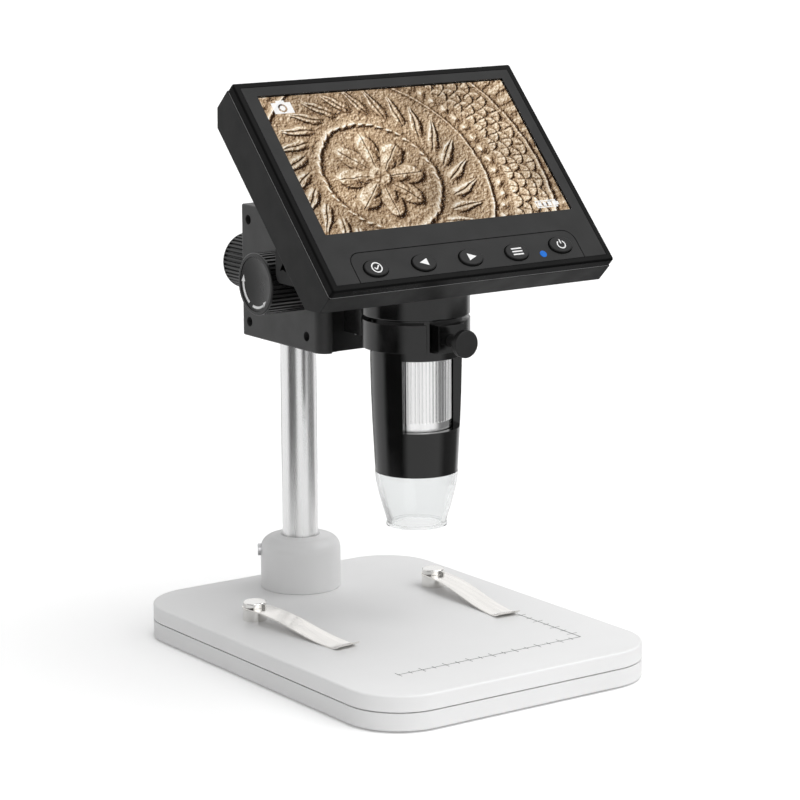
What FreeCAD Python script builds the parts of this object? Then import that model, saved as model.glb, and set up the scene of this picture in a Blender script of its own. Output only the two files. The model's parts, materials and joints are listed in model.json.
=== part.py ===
import FreeCAD, Part
import math
import os
from FreeCAD import Vector

os.makedirs("parts", exist_ok=True)

# Desk microscope with a screen: all sizes in mm.
# Origin: centre of the base's footprint, on the table. +X to the right of a person
# who faces the screen, +Y away from them, +Z up. The plane x = 0 holds the post and the barrel.

# Clearances used all over
run_fit = 0.05
slide_gap = 0.1
body_gap = 0.3
seam_gap = 0.4

# Base: two plastic halves with a steel plate inside
base_w = 110.8
base_d = 150.2
base_corner_r = 19.0
base_bottom_z = 0.8
base_top_z = 12.0
base_seam_z = 6.55
base_wall = 2.0
base_top_t = 2.4
base_floor_t = 2.0
base_edge_r = 0.7
foot_r = 6.0
foot_t = 1.6
foot_x = base_w / 2 - 15.4
foot_y = base_d / 2 - 33.1
boss_r = 3.6
boss_x = base_w / 2 - 25.4
boss_y = base_d / 2 - 11.1
base_screw_r = 1.4
base_screw_head_r = 2.6
base_screw_head_t = 1.4
ballast_w = base_w - 26.8
ballast_t = 3.0
ballast_gap = 0.4

# Post and its collar
post_y = 54.8
post_r = 6.15
post_boss_r = post_r + 4.0
post_bore_r = 3.0
post_foot_z = 3.4
post_top_z = 170.0
cap_lip = 0.15
cap_t = 2.0
cap_plug = 6.0
collar_r = 13.8
collar_top_z = 30.4
collar_round = 4.6
collar_wall_gap = 0.1
grub_z = 25.0
grub_turn = 150.0
grub_r = 1.5
grub_head_r = 2.1
grub_head_t = 1.0
post_bolt_r = 2.95
post_bolt_head_r = 4.6
post_bolt_head_t = 1.6
post_bolt_len = 14.0

# Stage clips: a drum, a leaf spring and a cap each side
clip_x = base_w / 2 - 18.9
clip_y = 27.0
clip_drum_r = 4.05
clip_drum_top_z = 16.0
clip_pin_r = 1.5
clip_cap_r = 3.9
clip_cap_t = 1.7
leaf_w = 8.4
leaf_t = 0.45
leaf_len = 48.0
leaf_flat = 6.0
leaf_touch = 43.5
leaf_lift = 1.3
leaf_turn_left = 6.6
leaf_turn_right = -4.0

# Bracket on the post: two halves bolted together round a brass sleeve
block_half_w = 14.0
block_front_y = 19.3
block_rear_y = 68.0
block_z0 = 99.8
block_z1 = 144.7
block_front_r = 4.2
block_rear_r = 1.2
sleeve_r = 7.2
sleeve_lip = 1.4
bracket_screw_y = (28.2, 63.3)
bracket_screw_z = (104.8, 139.7)
bracket_screw_r = 1.0
bracket_screw_tip = 10.0
bracket_head_r = 1.65
bracket_head_sink = 2.2
bracket_head_t = 2.0

# Lock screw behind the post
lock_z = 121.8
lock_knob_r = 9.7
lock_knob_y0 = 69.4
lock_knob_y1 = 87.0
lock_stud_r = 2.5
lock_nut_r = 4.5
lock_nut_t = 4.0
lock_pad_t = 1.5

# Focus drive: rack and pinion
pinion_y = 27.2
pinion_z = 124.4
gear_module = 0.7
pinion_teeth = 12
pressure_deg = 20.0
addendum = 0.55
dedendum = 0.80
backlash = 0.22
pinion_half_w = 2.3
pinion_room = 0.5
shaft_r = 2.0
bush_r = 3.5
bush_x0 = 8.7
knob_r = 10.2
knob_x_in = 14.6
knob_x_out = 34.5
knob_rim = 0.7
knob_edge_r = 0.35
knob_dish_r = 8.9
knob_dish_depth = 1.1
knob_cap_t = 0.4
ridge_count = 40
ridge_depth = 0.55

# Carriage that the rack moves
flange_half_w = 9.7
flange_t = 2.2
tail_neck = 6.4
tail_wide = 8.4
tail_t = 3.5
carriage_z0 = 100.4
carriage_z1 = 144.7
rack_half_w = 2.5
rack_slot_gap = 0.05
rack_back = 1.6
rack_screw_z = (106.0, 139.0)

# Arm and clamp ring that hold the barrel
axis_y = -14.5
ring_r = 17.5
ring_z0 = 106.9
ring_z1 = 116.05
arm_half_w = 5.0
slit_x0 = -7.1
slit_x1 = -4.7
pad_x0 = -4.7
pad_x1 = 5.6
pad_y = -33.6
dowel_r = 0.9
dowel_x = 3.7
dowel_z = (109.4, 113.6)
dowel_y0 = 8.0
clamp_z = 111.0
clamp_stud_r = 1.9
clamp_knob_r = 4.45
clamp_knob_y0 = -42.2
clamp_knob_t = 2.4

# Barrel, neck and optics, all on the vertical line x = 0, y = axis_y
barrel_top_r = 14.85
barrel_outline = ((132.0, 14.85), (104.6, 14.85), (91.3, 14.55), (83.4, 14.25), (75.4, 13.85), (65.7, 13.35))
barrel_wall_r = 12.3
barrel_window_wall_r = 11.9
barrel_ledge_r = 9.4
window_z0 = 80.3
window_z1 = 103.9
window_half_deg = 53.0
neck_r = 17.45
neck_z0 = 117.3
neck_spigot_r = 16.0
neck_nut_r = 18.6
neck_nut_t = 2.0
wheel_r = 11.35
wheel_bore_r = 8.5
wheel_band = 3.8
wheel_ribs = 60
wheel_rib_depth = 0.55
carrier_r = 8.1
carrier_bore_r = 5.2
carrier_z0 = 84.5
carrier_len = 14.0
lens_r = 5.1
lens_t = 2.6
tip_outline = ((65.7, 13.45), (62.5, 13.2), (59.0, 12.5), (55.5, 11.6), (52.4, 10.7), (50.2, 10.0), (47.8, 9.6))
tip_wall = 1.5
tip_spigot = 3.0
led_board_z = tip_outline[0][0] + tip_spigot + 0.2
led_board_t = 1.2
led_board_hole_r = 5.6
led_count = 8
led_ring_r = 8.6
led_r = 1.1
led_t = 1.2
sensor_board_z = 112.0
sensor_board_t = 1.4
sensor_board_r = 11.6
sensor_w = 7.0
sensor_t = 1.2

# Display, whose lit area sets the size of the head
lcd_x = 0.45
lcd_w = 95.04
lcd_h = 53.86
side_margin = 6.78
low_margin = 21.27
top_margin = 5.97
lcd_u = low_margin + lcd_h / 2
glass_rim = 0.3
module_w = lcd_w + 4.56
module_h = lcd_h + 4.74
module_t = 2.9

# Head: screen housing with a wedge behind it, made flat and then tipped back
head_w = lcd_w + 2 * side_margin
head_h = lcd_h + low_margin + top_margin
tilt_deg = 43.78
face_foot_y = -48.36
face_foot_z = 133.78
head_back = 16.5
head_edge_r = 0.7
bezel_t = 3.2
shell_front = 3.55
head_wall = 2.0
chamfer_top = 4.5
chamfer_bottom = 5.6
wedge_half_w = 33.3
wedge_rear_y = 16.5
wedge_bottom_z = 126.35
wedge_corner_r = 3.0
wedge_top_z = 184.0

# Front of the head, measured from the housing's lower edge
panel_inset = 2.1
panel_t = 0.8
panel_gap = 0.15
key_panel_half_w = 43.2
key_panel_top = 13.1
key_panel_r = 4.0
key_groove = 0.3
key_x = (-35.6, -17.65, 0.3, 18.25, 36.2)
key_u = (6.75, 6.75, 6.75, 6.75, 7.6)
key_names = ("confirm_button", "previous_button", "next_button", "menu_button", "power_button")
key_half_w = 4.4
key_half_h = 3.1
key_stand = 0.7
key_travel_room = 1.0
key_stem_r = 1.6
key_gap = 0.25
key_flange = 0.5
lamp_x = 28.1
lamp_u = 5.1
lamp_r = 1.2
board_w = head_w - 8.6
board_h = head_h - 13.1
board_t = 1.2
board_d = 9.0
battery_x0 = -28.0
battery_w = 42.0
battery_h = 18.0
battery_t = 6.5
battery_z = 141.0
battery_y = 5.0
head_screw_x = head_w / 2 - 9.3
head_screw_u = (11.0, head_h - 11.1)
head_screw_r = 1.3
head_screw_head_r = 2.3
head_screw_sink = 1.2
socket_y = 6.5
card_z = 150.0
card_w = 13.0
card_h = 2.4
usb_z = 138.0
usb_w = 8.6
usb_h = 3.4


def box(x0, x1, y0, y1, z0, z1):
    return Part.makeBox(x1 - x0, y1 - y0, z1 - z0, Vector(x0, y0, z0))


def rod(r, start, along, length):
    return Part.makeCylinder(r, length, Vector(*start), Vector(*along))


def post_at(r, x, y, z0, z1):
    return rod(r, (x, y, z0), (0, 0, 1), z1 - z0)


def pipe_at(r_out, r_in, x, y, z0, z1):
    return post_at(r_out, x, y, z0, z1).cut(post_at(r_in, x, y, z0 - 1, z1 + 1))


def prism(points, along):
    wire = Part.makePolygon([Vector(*p) for p in points] + [Vector(*points[0])])
    return Part.Face(wire).extrude(Vector(*along))


def round_plate(half_x, half_y, r, z0, z1):
    plate = box(-half_x, half_x, -half_y, half_y, z0, z1)
    upright = [e for e in plate.Edges if e.Length > 0 and is_along(e, "z")]
    return plate.makeFillet(r, upright)


def is_along(edge, axis):
    a, b = edge.Vertexes[0].Point, edge.Vertexes[-1].Point
    d = b.sub(a)
    if d.Length < 1e-6:
        return False
    return abs(getattr(d, axis)) > 0.999 * d.Length


def spun(outline, y):
    # closed outline of (radius, height) turned about a vertical line
    pts = [Vector(r, 0, z) for r, z in outline]
    face = Part.Face(Part.makePolygon(pts + [pts[0]]))
    body = face.revolve(Vector(0, 0, 0), Vector(0, 0, 1), 360)
    body.translate(Vector(0, y, 0))
    return body


def smooth_spun(outer, inner, y):
    # two smooth side curves, given from top to bottom as (height, radius), turned about a vertical line
    out_pts = [Vector(r, 0, z) for z, r in outer]
    in_pts = [Vector(r, 0, z) for z, r in inner]
    curve_out = Part.BSplineCurve()
    curve_out.interpolate(out_pts)
    edges = [curve_out.toShape(), Part.makeLine(out_pts[-1], in_pts[-1])]
    curve_in = Part.BSplineCurve()
    curve_in.interpolate(list(reversed(in_pts)))
    edges.append(curve_in.toShape())
    edges.append(Part.makeLine(in_pts[0], out_pts[0]))
    face = Part.Face(Part.Wire(edges))
    body = face.revolve(Vector(0, 0, 0), Vector(0, 0, 1), 360)
    body.translate(Vector(0, y, 0))
    return body


def group(shapes):
    return Part.makeCompound(shapes)


def save(shape, node):
    shape.exportStep("parts/" + node + ".step")


def ridged(r, depth, count, length, top_share=0.45):
    # a bar with straight ridges round it, along +Z from the origin
    step = 2 * math.pi / count
    pts = []
    for i in range(count):
        a = i * step
        for share, rr in ((0.0, r), (top_share, r), (top_share + 0.2, r - depth), (0.8, r - depth)):
            pts.append((rr * math.cos(a + share * step), rr * math.sin(a + share * step), 0))
    return prism(pts, (0, 0, length))


def turned(shape, axis, degrees, centre=(0, 0, 0)):
    out = shape.copy()
    out.rotate(Vector(*centre), Vector(*axis), degrees)
    return out


def moved(shape, x, y, z):
    out = shape.copy()
    out.translate(Vector(x, y, z))
    return out


def tipped(shape):
    # from the flat head drawing (x, depth, height up the face) to its place on the stand
    out = shape.copy()
    out.rotate(Vector(0, 0, 0), Vector(1, 0, 0), -tilt_deg)
    out.translate(Vector(0, face_foot_y, face_foot_z))
    return out


def at_corners(half_x, half_y, y_mid=0.0):
    return [(sx * half_x, y_mid + sy * half_y) for sx in (-1, 1) for sy in (-1, 1)]


# Base, lower half
tray = round_plate(base_w / 2, base_d / 2, base_corner_r, base_bottom_z, base_seam_z - seam_gap / 2)
floor_z = base_bottom_z + base_floor_t
inner_half_w = base_w / 2 - base_wall
inner_half_d = base_d / 2 - base_wall
inner_corner_r = base_corner_r - base_wall
tray = tray.cut(round_plate(inner_half_w, inner_half_d, inner_corner_r, floor_z, base_seam_z + 1))
for x, y in at_corners(boss_x, boss_y):
    tray = tray.fuse(post_at(boss_r, x, y, floor_z, base_seam_z))
tray = tray.fuse(post_at(post_boss_r, 0, post_y, floor_z, base_seam_z))
tray = tray.cut(post_at(post_r + run_fit, 0, post_y, post_foot_z, base_seam_z + 1))
tray = tray.cut(post_at(post_bolt_r + 0.1, 0, post_y, 0, post_foot_z + 1))
tray = tray.cut(post_at(post_bolt_head_r + 0.2, 0, post_y, 0, base_bottom_z + post_bolt_head_t))
foot_spots = at_corners(foot_x, foot_y) + [(0, 0)]
for x, y in foot_spots:
    tray = tray.cut(post_at(foot_r + 0.1, x, y, 0, foot_t))
for x, y in at_corners(boss_x, boss_y):
    tray = tray.cut(post_at(base_screw_r + 0.1, x, y, 0, base_seam_z + 1))
    tray = tray.cut(post_at(base_screw_head_r + 0.1, x, y, 0, base_bottom_z + base_screw_head_t))
save(tray.removeSplitter(), "base_tray")

# Base, upper half: the stage
cover = round_plate(base_w / 2, base_d / 2, base_corner_r, base_seam_z + seam_gap / 2, base_top_z)
rim = [e for e in cover.Edges if min(v.Z for v in e.Vertexes) > base_top_z - 0.01]
cover = cover.makeFillet(base_edge_r, rim)
cover = cover.cut(round_plate(inner_half_w, inner_half_d, inner_corner_r, 0, base_top_z - base_top_t))
lip_in = 2.4
lip = round_plate(inner_half_w - slide_gap, inner_half_d - slide_gap, inner_corner_r - slide_gap,
                  base_seam_z - 1.4, base_top_z - base_top_t)
lip = lip.cut(round_plate(inner_half_w - lip_in, inner_half_d - lip_in, inner_corner_r - lip_in,
                          0, base_top_z))
cover = cover.fuse(lip)
for x, y in at_corners(boss_x, boss_y):
    cover = cover.fuse(post_at(boss_r, x, y, base_seam_z, base_top_z - base_top_t))
    cover = cover.cut(post_at(boss_r + 0.2, x, y, 0, base_seam_z))
    cover = cover.cut(post_at(base_screw_r + run_fit, x, y, 0, base_top_z - base_top_t))
cover = cover.fuse(post_at(post_boss_r, 0, post_y, base_seam_z, base_top_z - base_top_t))
cover = cover.cut(post_at(post_r + run_fit, 0, post_y, 0, base_top_z + 1))
for side in (-1, 1):
    cover = cover.fuse(post_at(clip_pin_r + 2, side * clip_x, clip_y, base_seam_z, base_top_z - base_top_t))
    cover = cover.cut(post_at(clip_pin_r + run_fit, side * clip_x, clip_y, base_seam_z - 1, base_top_z + 1))
save(cover.removeSplitter(), "base_cover")

# Steel plate between the halves, clear of the bosses
ballast_y0 = -(boss_y - boss_r - ballast_gap)
ballast_y1 = post_y - post_boss_r - ballast_gap
ballast = box(-ballast_w / 2, ballast_w / 2, ballast_y0, ballast_y1, floor_z, floor_z + ballast_t)
save(ballast, "ballast_plate")

feet = [post_at(foot_r, x, y, 0, foot_t) for x, y in foot_spots]
save(group(feet), "rubber_feet")

base_screws = []
for x, y in at_corners(boss_x, boss_y):
    head = post_at(base_screw_head_r, x, y, base_bottom_z + 0.2, base_bottom_z + base_screw_head_t)
    shank = post_at(base_screw_r, x, y, base_bottom_z + base_screw_head_t, base_top_z - base_top_t - 0.4)
    slot = box(x - 2, x + 2, y - 0.3, y + 0.3, 0, base_bottom_z + 0.8)
    base_screws.append(head.fuse(shank).cut(slot))
save(group(base_screws), "base_screws")

# Post, with the bolt that holds it and its end cap
post = pipe_at(post_r, post_bore_r, 0, post_y, post_foot_z, post_top_z)
save(post, "post")
bolt_z = base_bottom_z + post_bolt_head_t
post_bolt = post_at(post_bolt_head_r, 0, post_y, base_bottom_z + 0.2, bolt_z)
post_bolt = post_bolt.fuse(post_at(post_bolt_r, 0, post_y, bolt_z, bolt_z + post_bolt_len))
hex_pts = [(2.6 * math.cos(math.radians(60 * i)), post_y + 2.6 * math.sin(math.radians(60 * i)), 0)
           for i in range(6)]
post_bolt = post_bolt.cut(prism(hex_pts, (0, 0, base_bottom_z + 1.2)))
save(post_bolt, "post_bolt")
cap = post_at(post_r + cap_lip, 0, post_y, post_top_z, post_top_z + cap_t)
cap = cap.makeFillet(0.8, [e for e in cap.Edges if e.BoundBox.ZMin > post_top_z + cap_t - 0.01])
cap = cap.fuse(post_at(post_bore_r - run_fit, 0, post_y, post_top_z - cap_plug, post_top_z))
save(cap, "post_cap")

# White collar at the foot of the post
arc_mid = collar_round * (1 - math.sqrt(0.5))
shoulder_r = collar_r - collar_round
shoulder_z = collar_top_z - 0.4
bore_r = post_r + collar_wall_gap
p1 = Vector(bore_r, 0, base_top_z)
p2 = Vector(collar_r - 0.3, 0, base_top_z)
p3 = Vector(collar_r, 0, base_top_z + 0.3)
p4 = Vector(collar_r, 0, shoulder_z - collar_round)
p5 = Vector(collar_r - arc_mid, 0, shoulder_z - arc_mid)
p6 = Vector(shoulder_r, 0, shoulder_z)
p7 = Vector(post_r + 0.7, 0, collar_top_z)
p8 = Vector(bore_r, 0, collar_top_z - 0.6)
collar_edges = [Part.makeLine(p1, p2), Part.makeLine(p2, p3), Part.makeLine(p3, p4),
                Part.Arc(p4, p5, p6).toShape(), Part.makeLine(p6, p7), Part.makeLine(p7, p8),
                Part.makeLine(p8, p1)]
collar = Part.Face(Part.Wire(collar_edges)).revolve(Vector(0, 0, 0), Vector(0, 0, 1), 360)
collar.translate(Vector(0, post_y, 0))
grub_dir = (math.cos(math.radians(grub_turn)), math.sin(math.radians(grub_turn)), 0)
collar_solid = collar
collar = collar.cut(rod(grub_r + run_fit, (0, post_y, grub_z), grub_dir, collar_r + 2))
save(collar, "post_collar")
grub_x0 = post_r + 0.1
grub_len = collar_r - 0.2 - grub_x0
grub_at = (grub_dir[0] * grub_x0, post_y + grub_dir[1] * grub_x0, grub_z)
head_at = (grub_dir[0] * (grub_x0 + grub_len), post_y + grub_dir[1] * (grub_x0 + grub_len), grub_z)
grub = rod(grub_r, grub_at, grub_dir, grub_len)
grub_head = rod(grub_head_r, head_at, grub_dir, grub_head_t + 0.2)
grub = grub.fuse(grub_head.cut(collar_solid))
save(grub, "collar_screw")

# Stage clips
studs = []
caps = []
for side in (-1, 1):
    x = side * clip_x
    drum = post_at(clip_drum_r, x, clip_y, base_top_z, clip_drum_top_z)
    drum = drum.makeChamfer(0.25, [e for e in drum.Edges if e.BoundBox.ZMin > clip_drum_top_z - 0.01])
    pin_top = clip_drum_top_z + leaf_t + clip_cap_t - 0.5
    pin = post_at(clip_pin_r, x, clip_y, base_seam_z + 0.5, pin_top)
    studs.append(drum.fuse(pin))
    cap_z = clip_drum_top_z + leaf_t + 2 * run_fit
    clip_cap = post_at(clip_cap_r, x, clip_y, cap_z, cap_z + clip_cap_t)
    clip_cap = clip_cap.makeFillet(0.45, [e for e in clip_cap.Edges if e.BoundBox.ZMin > cap_z + clip_cap_t - 0.01])
    caps.append(clip_cap.cut(post_at(clip_pin_r, x, clip_y, cap_z - 1, pin_top)))
save(group(studs), "clip_studs")
save(group(caps), "clip_caps")

leaf_bottom = clip_drum_top_z + run_fit


def leaf_height(s):
    # underside height at the distance s from the stud
    if s <= leaf_flat:
        return leaf_bottom
    low = base_top_z + run_fit
    if s <= leaf_touch:
        part_way = (s - leaf_flat) / (leaf_touch - leaf_flat)
        return leaf_bottom + (low - leaf_bottom) * 0.5 * (1 - math.cos(math.pi * part_way))
    return low + leaf_lift * ((s - leaf_touch) / (leaf_len - leaf_touch)) ** 2


def leaf_spring():
    stations = [-leaf_w / 2, -1.0, 2.0, 5.0]
    stations += [6.0 + i * (leaf_len - 6.0) / 16 for i in range(1, 17)]
    under = [Vector(0, -s, leaf_height(s)) for s in stations]
    over = [Vector(0, p.y, p.z + leaf_t) for p in under]
    low_curve = Part.BSplineCurve()
    low_curve.interpolate(under)
    high_curve = Part.BSplineCurve()
    high_curve.interpolate(list(reversed(over)))
    wire = Part.Wire([low_curve.toShape(), Part.makeLine(under[-1], over[-1]),
                      high_curve.toShape(), Part.makeLine(over[0], under[0])])
    leaf = Part.Face(wire).extrude(Vector(leaf_w, 0, 0))
    leaf.translate(Vector(-leaf_w / 2, 0, 0))
    outline = box(-leaf_w / 2, leaf_w / 2, -leaf_len - 1, 0, base_top_z - 1, clip_drum_top_z + 3)
    outline = outline.fuse(post_at(leaf_w / 2, 0, 0, base_top_z - 1, clip_drum_top_z + 3))
    leaf = leaf.common(outline)
    return leaf.cut(post_at(clip_pin_r + run_fit, 0, 0, base_top_z, clip_drum_top_z + 3))


leaf = leaf_spring()
save(moved(turned(leaf, (0, 0, 1), leaf_turn_left), -clip_x, clip_y, 0), "left_clip")
save(moved(turned(leaf, (0, 0, 1), leaf_turn_right), clip_x, clip_y, 0), "right_clip")

# Brass sleeve that slides on the post inside the bracket
sleeve = pipe_at(sleeve_r, post_r + run_fit, 0, post_y, block_z0 + sleeve_lip + run_fit,
                 block_z1 - sleeve_lip - run_fit)
save(sleeve, "post_sleeve")

# Bracket block, cut in two halves at x = 0
block = box(-block_half_w, block_half_w, block_front_y, block_rear_y, block_z0, block_z1)
front_edges = [e for e in block.Edges if is_along(e, "z") and e.BoundBox.YMax < block_front_y + 0.01]
block = block.makeFillet(block_front_r, front_edges)
rear_edges = [e for e in block.Edges if is_along(e, "z") and e.BoundBox.YMin > block_rear_y - 0.01]
block = block.makeFillet(block_rear_r, rear_edges)
end_edges = [e for e in block.Edges if e.BoundBox.ZLength < 0.01]
block = block.makeChamfer(0.35, end_edges)
block = block.cut(post_at(post_r + body_gap, 0, post_y, block_z0 - 1, block_z1 + 1))
block = block.cut(post_at(sleeve_r + run_fit, 0, post_y, block_z0 + sleeve_lip, block_z1 - sleeve_lip))
g = slide_gap
pocket_y = block_front_y + flange_t
tail_y = pocket_y + tail_t
block = block.cut(box(-flange_half_w - g, flange_half_w + g, block_front_y - 1, pocket_y + g,
                      block_z0 - 1, block_z1 + 1))
tail_hole = [(-tail_neck - g, pocket_y, block_z0 - 1), (tail_neck + g, pocket_y, block_z0 - 1),
             (tail_wide + g, tail_y + g, block_z0 - 1), (-tail_wide - g, tail_y + g, block_z0 - 1)]
block = block.cut(prism(tail_hole, (0, 0, block_z1 - block_z0 + 2)))
pitch_r = gear_module * pinion_teeth / 2
tip_r = pitch_r + addendum
pinion_cave = rod(tip_r + pinion_room, (-pinion_half_w - pinion_room, pinion_y, pinion_z), (1, 0, 0),
                  2 * (pinion_half_w + pinion_room))
block = block.cut(pinion_cave)
block = block.cut(rod(bush_r, (-block_half_w - 1, pinion_y, pinion_z), (1, 0, 0), 2 * block_half_w + 2))
lock_y0 = post_y + sleeve_r
block = block.cut(rod(lock_stud_r + run_fit, (0, lock_y0 - 1, lock_z), (0, 1, 0), block_rear_y - lock_y0 + 2))
block = block.cut(rod(lock_nut_r, (0, block_rear_y - lock_nut_t, lock_z), (0, 1, 0), lock_nut_t + 1))
for y in bracket_screw_y:
    for z in bracket_screw_z:
        block = block.cut(rod(bracket_screw_r, (-block_half_w - 1, y, z), (1, 0, 0),
                              block_half_w + 1 + bracket_screw_tip + body_gap))
        sunk = bracket_head_sink + bracket_head_t
        block = block.cut(rod(bracket_head_r, (-block_half_w - 1, y, z), (1, 0, 0), sunk + 1))
half_room = (block_front_y - 5, block_rear_y + 5, block_z0 - 5, block_z1 + 5)
save(block.common(box(-block_half_w - 5, 0, *half_room)), "bracket_left")
save(block.common(box(0, block_half_w + 5, *half_room)), "bracket_right")

bracket_screws = []
for y in bracket_screw_y:
    for z in bracket_screw_z:
        x0 = -block_half_w + bracket_head_sink
        head = rod(bracket_head_r, (x0, y, z), (1, 0, 0), bracket_head_t)
        shank_x0 = x0 + bracket_head_t
        shank = rod(bracket_screw_r, (shank_x0, y, z), (1, 0, 0), bracket_screw_tip - shank_x0)
        socket = rod(0.8, (x0 - 1, y, z), (1, 0, 0), 2)
        bracket_screws.append(head.fuse(shank).cut(socket))
save(group(bracket_screws), "bracket_screws")

# Lock screw: nut in the block, threaded rod and ridged knob
lock_nut = rod(lock_nut_r, (0, block_rear_y - lock_nut_t, lock_z), (0, 1, 0), lock_nut_t + 0.4)
lock_nut = lock_nut.cut(rod(lock_stud_r + run_fit, (0, block_rear_y - lock_nut_t - 1, lock_z), (0, 1, 0),
                            lock_nut_t + 3))
save(lock_nut, "lock_nut")
stud_y0 = lock_y0 + body_gap
lock_stud = rod(lock_stud_r, (0, stud_y0, lock_z), (0, 1, 0), lock_knob_y1 - 4 - stud_y0)
save(lock_stud, "lock_stud")


def knob(r, length, rim):
    # ridged grip with a smooth rim at its outer end, from z = 0 (inner end) outwards
    grip = ridged(r, ridge_depth, ridge_count, length - rim)
    face = post_at(r, 0, 0, length - rim, length)
    face = face.makeFillet(knob_edge_r, [e for e in face.Edges if e.BoundBox.ZMin > length - 0.01])
    return grip.fuse(face)


def dish(r, depth, length):
    # shallow round hollow in the outer face
    ball_r = (r * r + depth * depth) / (2 * depth)
    return Part.makeSphere(ball_r, Vector(0, 0, length + ball_r - depth))


lock_len = lock_knob_y1 - lock_knob_y0
lock_knob = knob(lock_knob_r, lock_len, knob_rim).cut(dish(knob_dish_r, 0.8, lock_len))
lock_knob = lock_knob.cut(post_at(lock_stud_r, 0, 0, -1, lock_len - 4))
lock_knob = moved(turned(lock_knob, (1, 0, 0), -90), 0, lock_knob_y0, lock_z)
save(lock_knob, "lock_knob")

# Focus knobs on the pinion shaft
knob_len = knob_x_out - knob_x_in
plain_knob = knob(knob_r, knob_len, knob_rim)
plain_knob = plain_knob.cut(post_at(knob_dish_r + 0.1, 0, 0, knob_len - knob_cap_t - knob_dish_depth, knob_len + 1))
plain_knob = plain_knob.cut(post_at(shaft_r, 0, 0, -1, knob_len - 5))
plain_disc = post_at(knob_dish_r, 0, 0, knob_len - knob_cap_t - knob_dish_depth, knob_len - 0.2)
plain_disc = plain_disc.cut(dish(knob_dish_r - 0.2, knob_dish_depth, knob_len - 0.2))
discs = []
for side, name in ((-1, "focus_knob_left"), (1, "focus_knob_right")):
    knob_part = turned(plain_knob, (0, 1, 0), 90 * side)
    save(moved(knob_part, side * knob_x_in, pinion_y, pinion_z), name)
    discs.append(moved(turned(plain_disc, (0, 1, 0), 90 * side), side * knob_x_in, pinion_y, pinion_z))
save(group(discs), "focus_knob_discs")

# Pinion: involute teeth with a little play, one gap facing the rack
base_r = pitch_r * math.cos(math.radians(pressure_deg))
root_r = pitch_r - dedendum
half_tooth = (math.pi * gear_module / 2 - backlash) / 2 / pitch_r


def involute(r):
    a = math.acos(min(1.0, base_r / r))
    return math.tan(a) - a


def pinion_outline():
    pts = []
    start = math.pi + math.pi / pinion_teeth
    for i in range(pinion_teeth):
        mid = start + i * 2 * math.pi / pinion_teeth
        flank = []
        for k in range(5):
            r = base_r + (tip_r - base_r) * k / 4
            flank.append((r, half_tooth + involute(pitch_r) - involute(r)))
        side_a = [(root_r, -flank[0][1])] + [(r, -a) for r, a in flank]
        side_b = [(r, a) for r, a in reversed(flank)] + [(root_r, flank[0][1])]
        for r, a in side_a + side_b:
            pts.append((0, r * math.cos(mid + a), r * math.sin(mid + a)))
    return pts


teeth_face = [(-pinion_half_w, pinion_y + y, pinion_z + z) for x, y, z in pinion_outline()]
pinion = prism(teeth_face, (2 * pinion_half_w, 0, 0))
shaft_len = 2 * (knob_x_out - 5)
shaft = rod(shaft_r, (-shaft_len / 2, pinion_y, pinion_z), (1, 0, 0), shaft_len)
save(pinion.fuse(shaft), "pinion_shaft")

bushes = []
for side in (-1, 1):
    x0 = min(side * bush_x0, side * block_half_w)
    length = block_half_w - bush_x0
    bush = rod(bush_r, (x0, pinion_y, pinion_z), (1, 0, 0), length)
    bushes.append(bush.cut(rod(shaft_r + run_fit, (x0 - 1, pinion_y, pinion_z), (1, 0, 0), length + 2)))
save(group(bushes), "pinion_bushes")

# Carriage: flange and tail in the block's slideway, with a rack in its back
carriage = box(-flange_half_w, flange_half_w, block_front_y, pocket_y, carriage_z0, carriage_z1)
tail = [(-tail_neck, pocket_y - 0.01, carriage_z0), (tail_neck, pocket_y - 0.01, carriage_z0),
        (tail_wide, tail_y, carriage_z0), (-tail_wide, tail_y, carriage_z0)]
carriage = carriage.fuse(prism(tail, (0, 0, carriage_z1 - carriage_z0)))
rack_tip_y = pinion_y - pitch_r + addendum
rack_root_y = pinion_y - pitch_r - dedendum
rack_y0 = rack_root_y - rack_back + 0.4
slot_w = rack_half_w + rack_slot_gap
carriage = carriage.cut(box(-slot_w, slot_w, rack_y0, tail_y + 1, carriage_z0 - 1, carriage_z1 + 1))
for x in (-dowel_x, dowel_x):
    for z in dowel_z:
        carriage = carriage.cut(rod(dowel_r, (x, block_front_y - 1, z), (0, 1, 0), 10))
for z in rack_screw_z:
    carriage = carriage.cut(rod(1.0, (0, block_front_y - 1, z), (0, 1, 0), 5))
save(carriage.removeSplitter(), "carriage")

pitch = math.pi * gear_module
lean = math.tan(math.radians(pressure_deg))
half_pitch_w = (pitch / 2 - backlash) / 2
tooth_count = int((carriage_z1 - carriage_z0 - 2) / pitch)
low_z = pinion_z - pitch * int((pinion_z - carriage_z0 - 1.2) / pitch)
rack_pts = [(-rack_half_w, rack_y0, carriage_z0)]
rack_pts.append((-rack_half_w, rack_root_y, carriage_z0))
z = low_z
while z + pitch / 2 < carriage_z1 - 0.2:
    rack_pts.append((-rack_half_w, rack_root_y, z - half_pitch_w - dedendum * lean))
    rack_pts.append((-rack_half_w, rack_tip_y, z - half_pitch_w + addendum * lean))
    rack_pts.append((-rack_half_w, rack_tip_y, z + half_pitch_w - addendum * lean))
    rack_pts.append((-rack_half_w, rack_root_y, z + half_pitch_w + dedendum * lean))
    z += pitch
rack_pts.append((-rack_half_w, rack_root_y, carriage_z1))
rack_pts.append((-rack_half_w, rack_y0, carriage_z1))
rack = prism(rack_pts, (2 * rack_half_w, 0, 0))
for zs in rack_screw_z:
    rack = rack.cut(rod(1.0, (0, block_front_y - 1, zs), (0, 1, 0), rack_root_y - block_front_y + 0.4))
save(rack, "rack")
rack_screws = []
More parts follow.
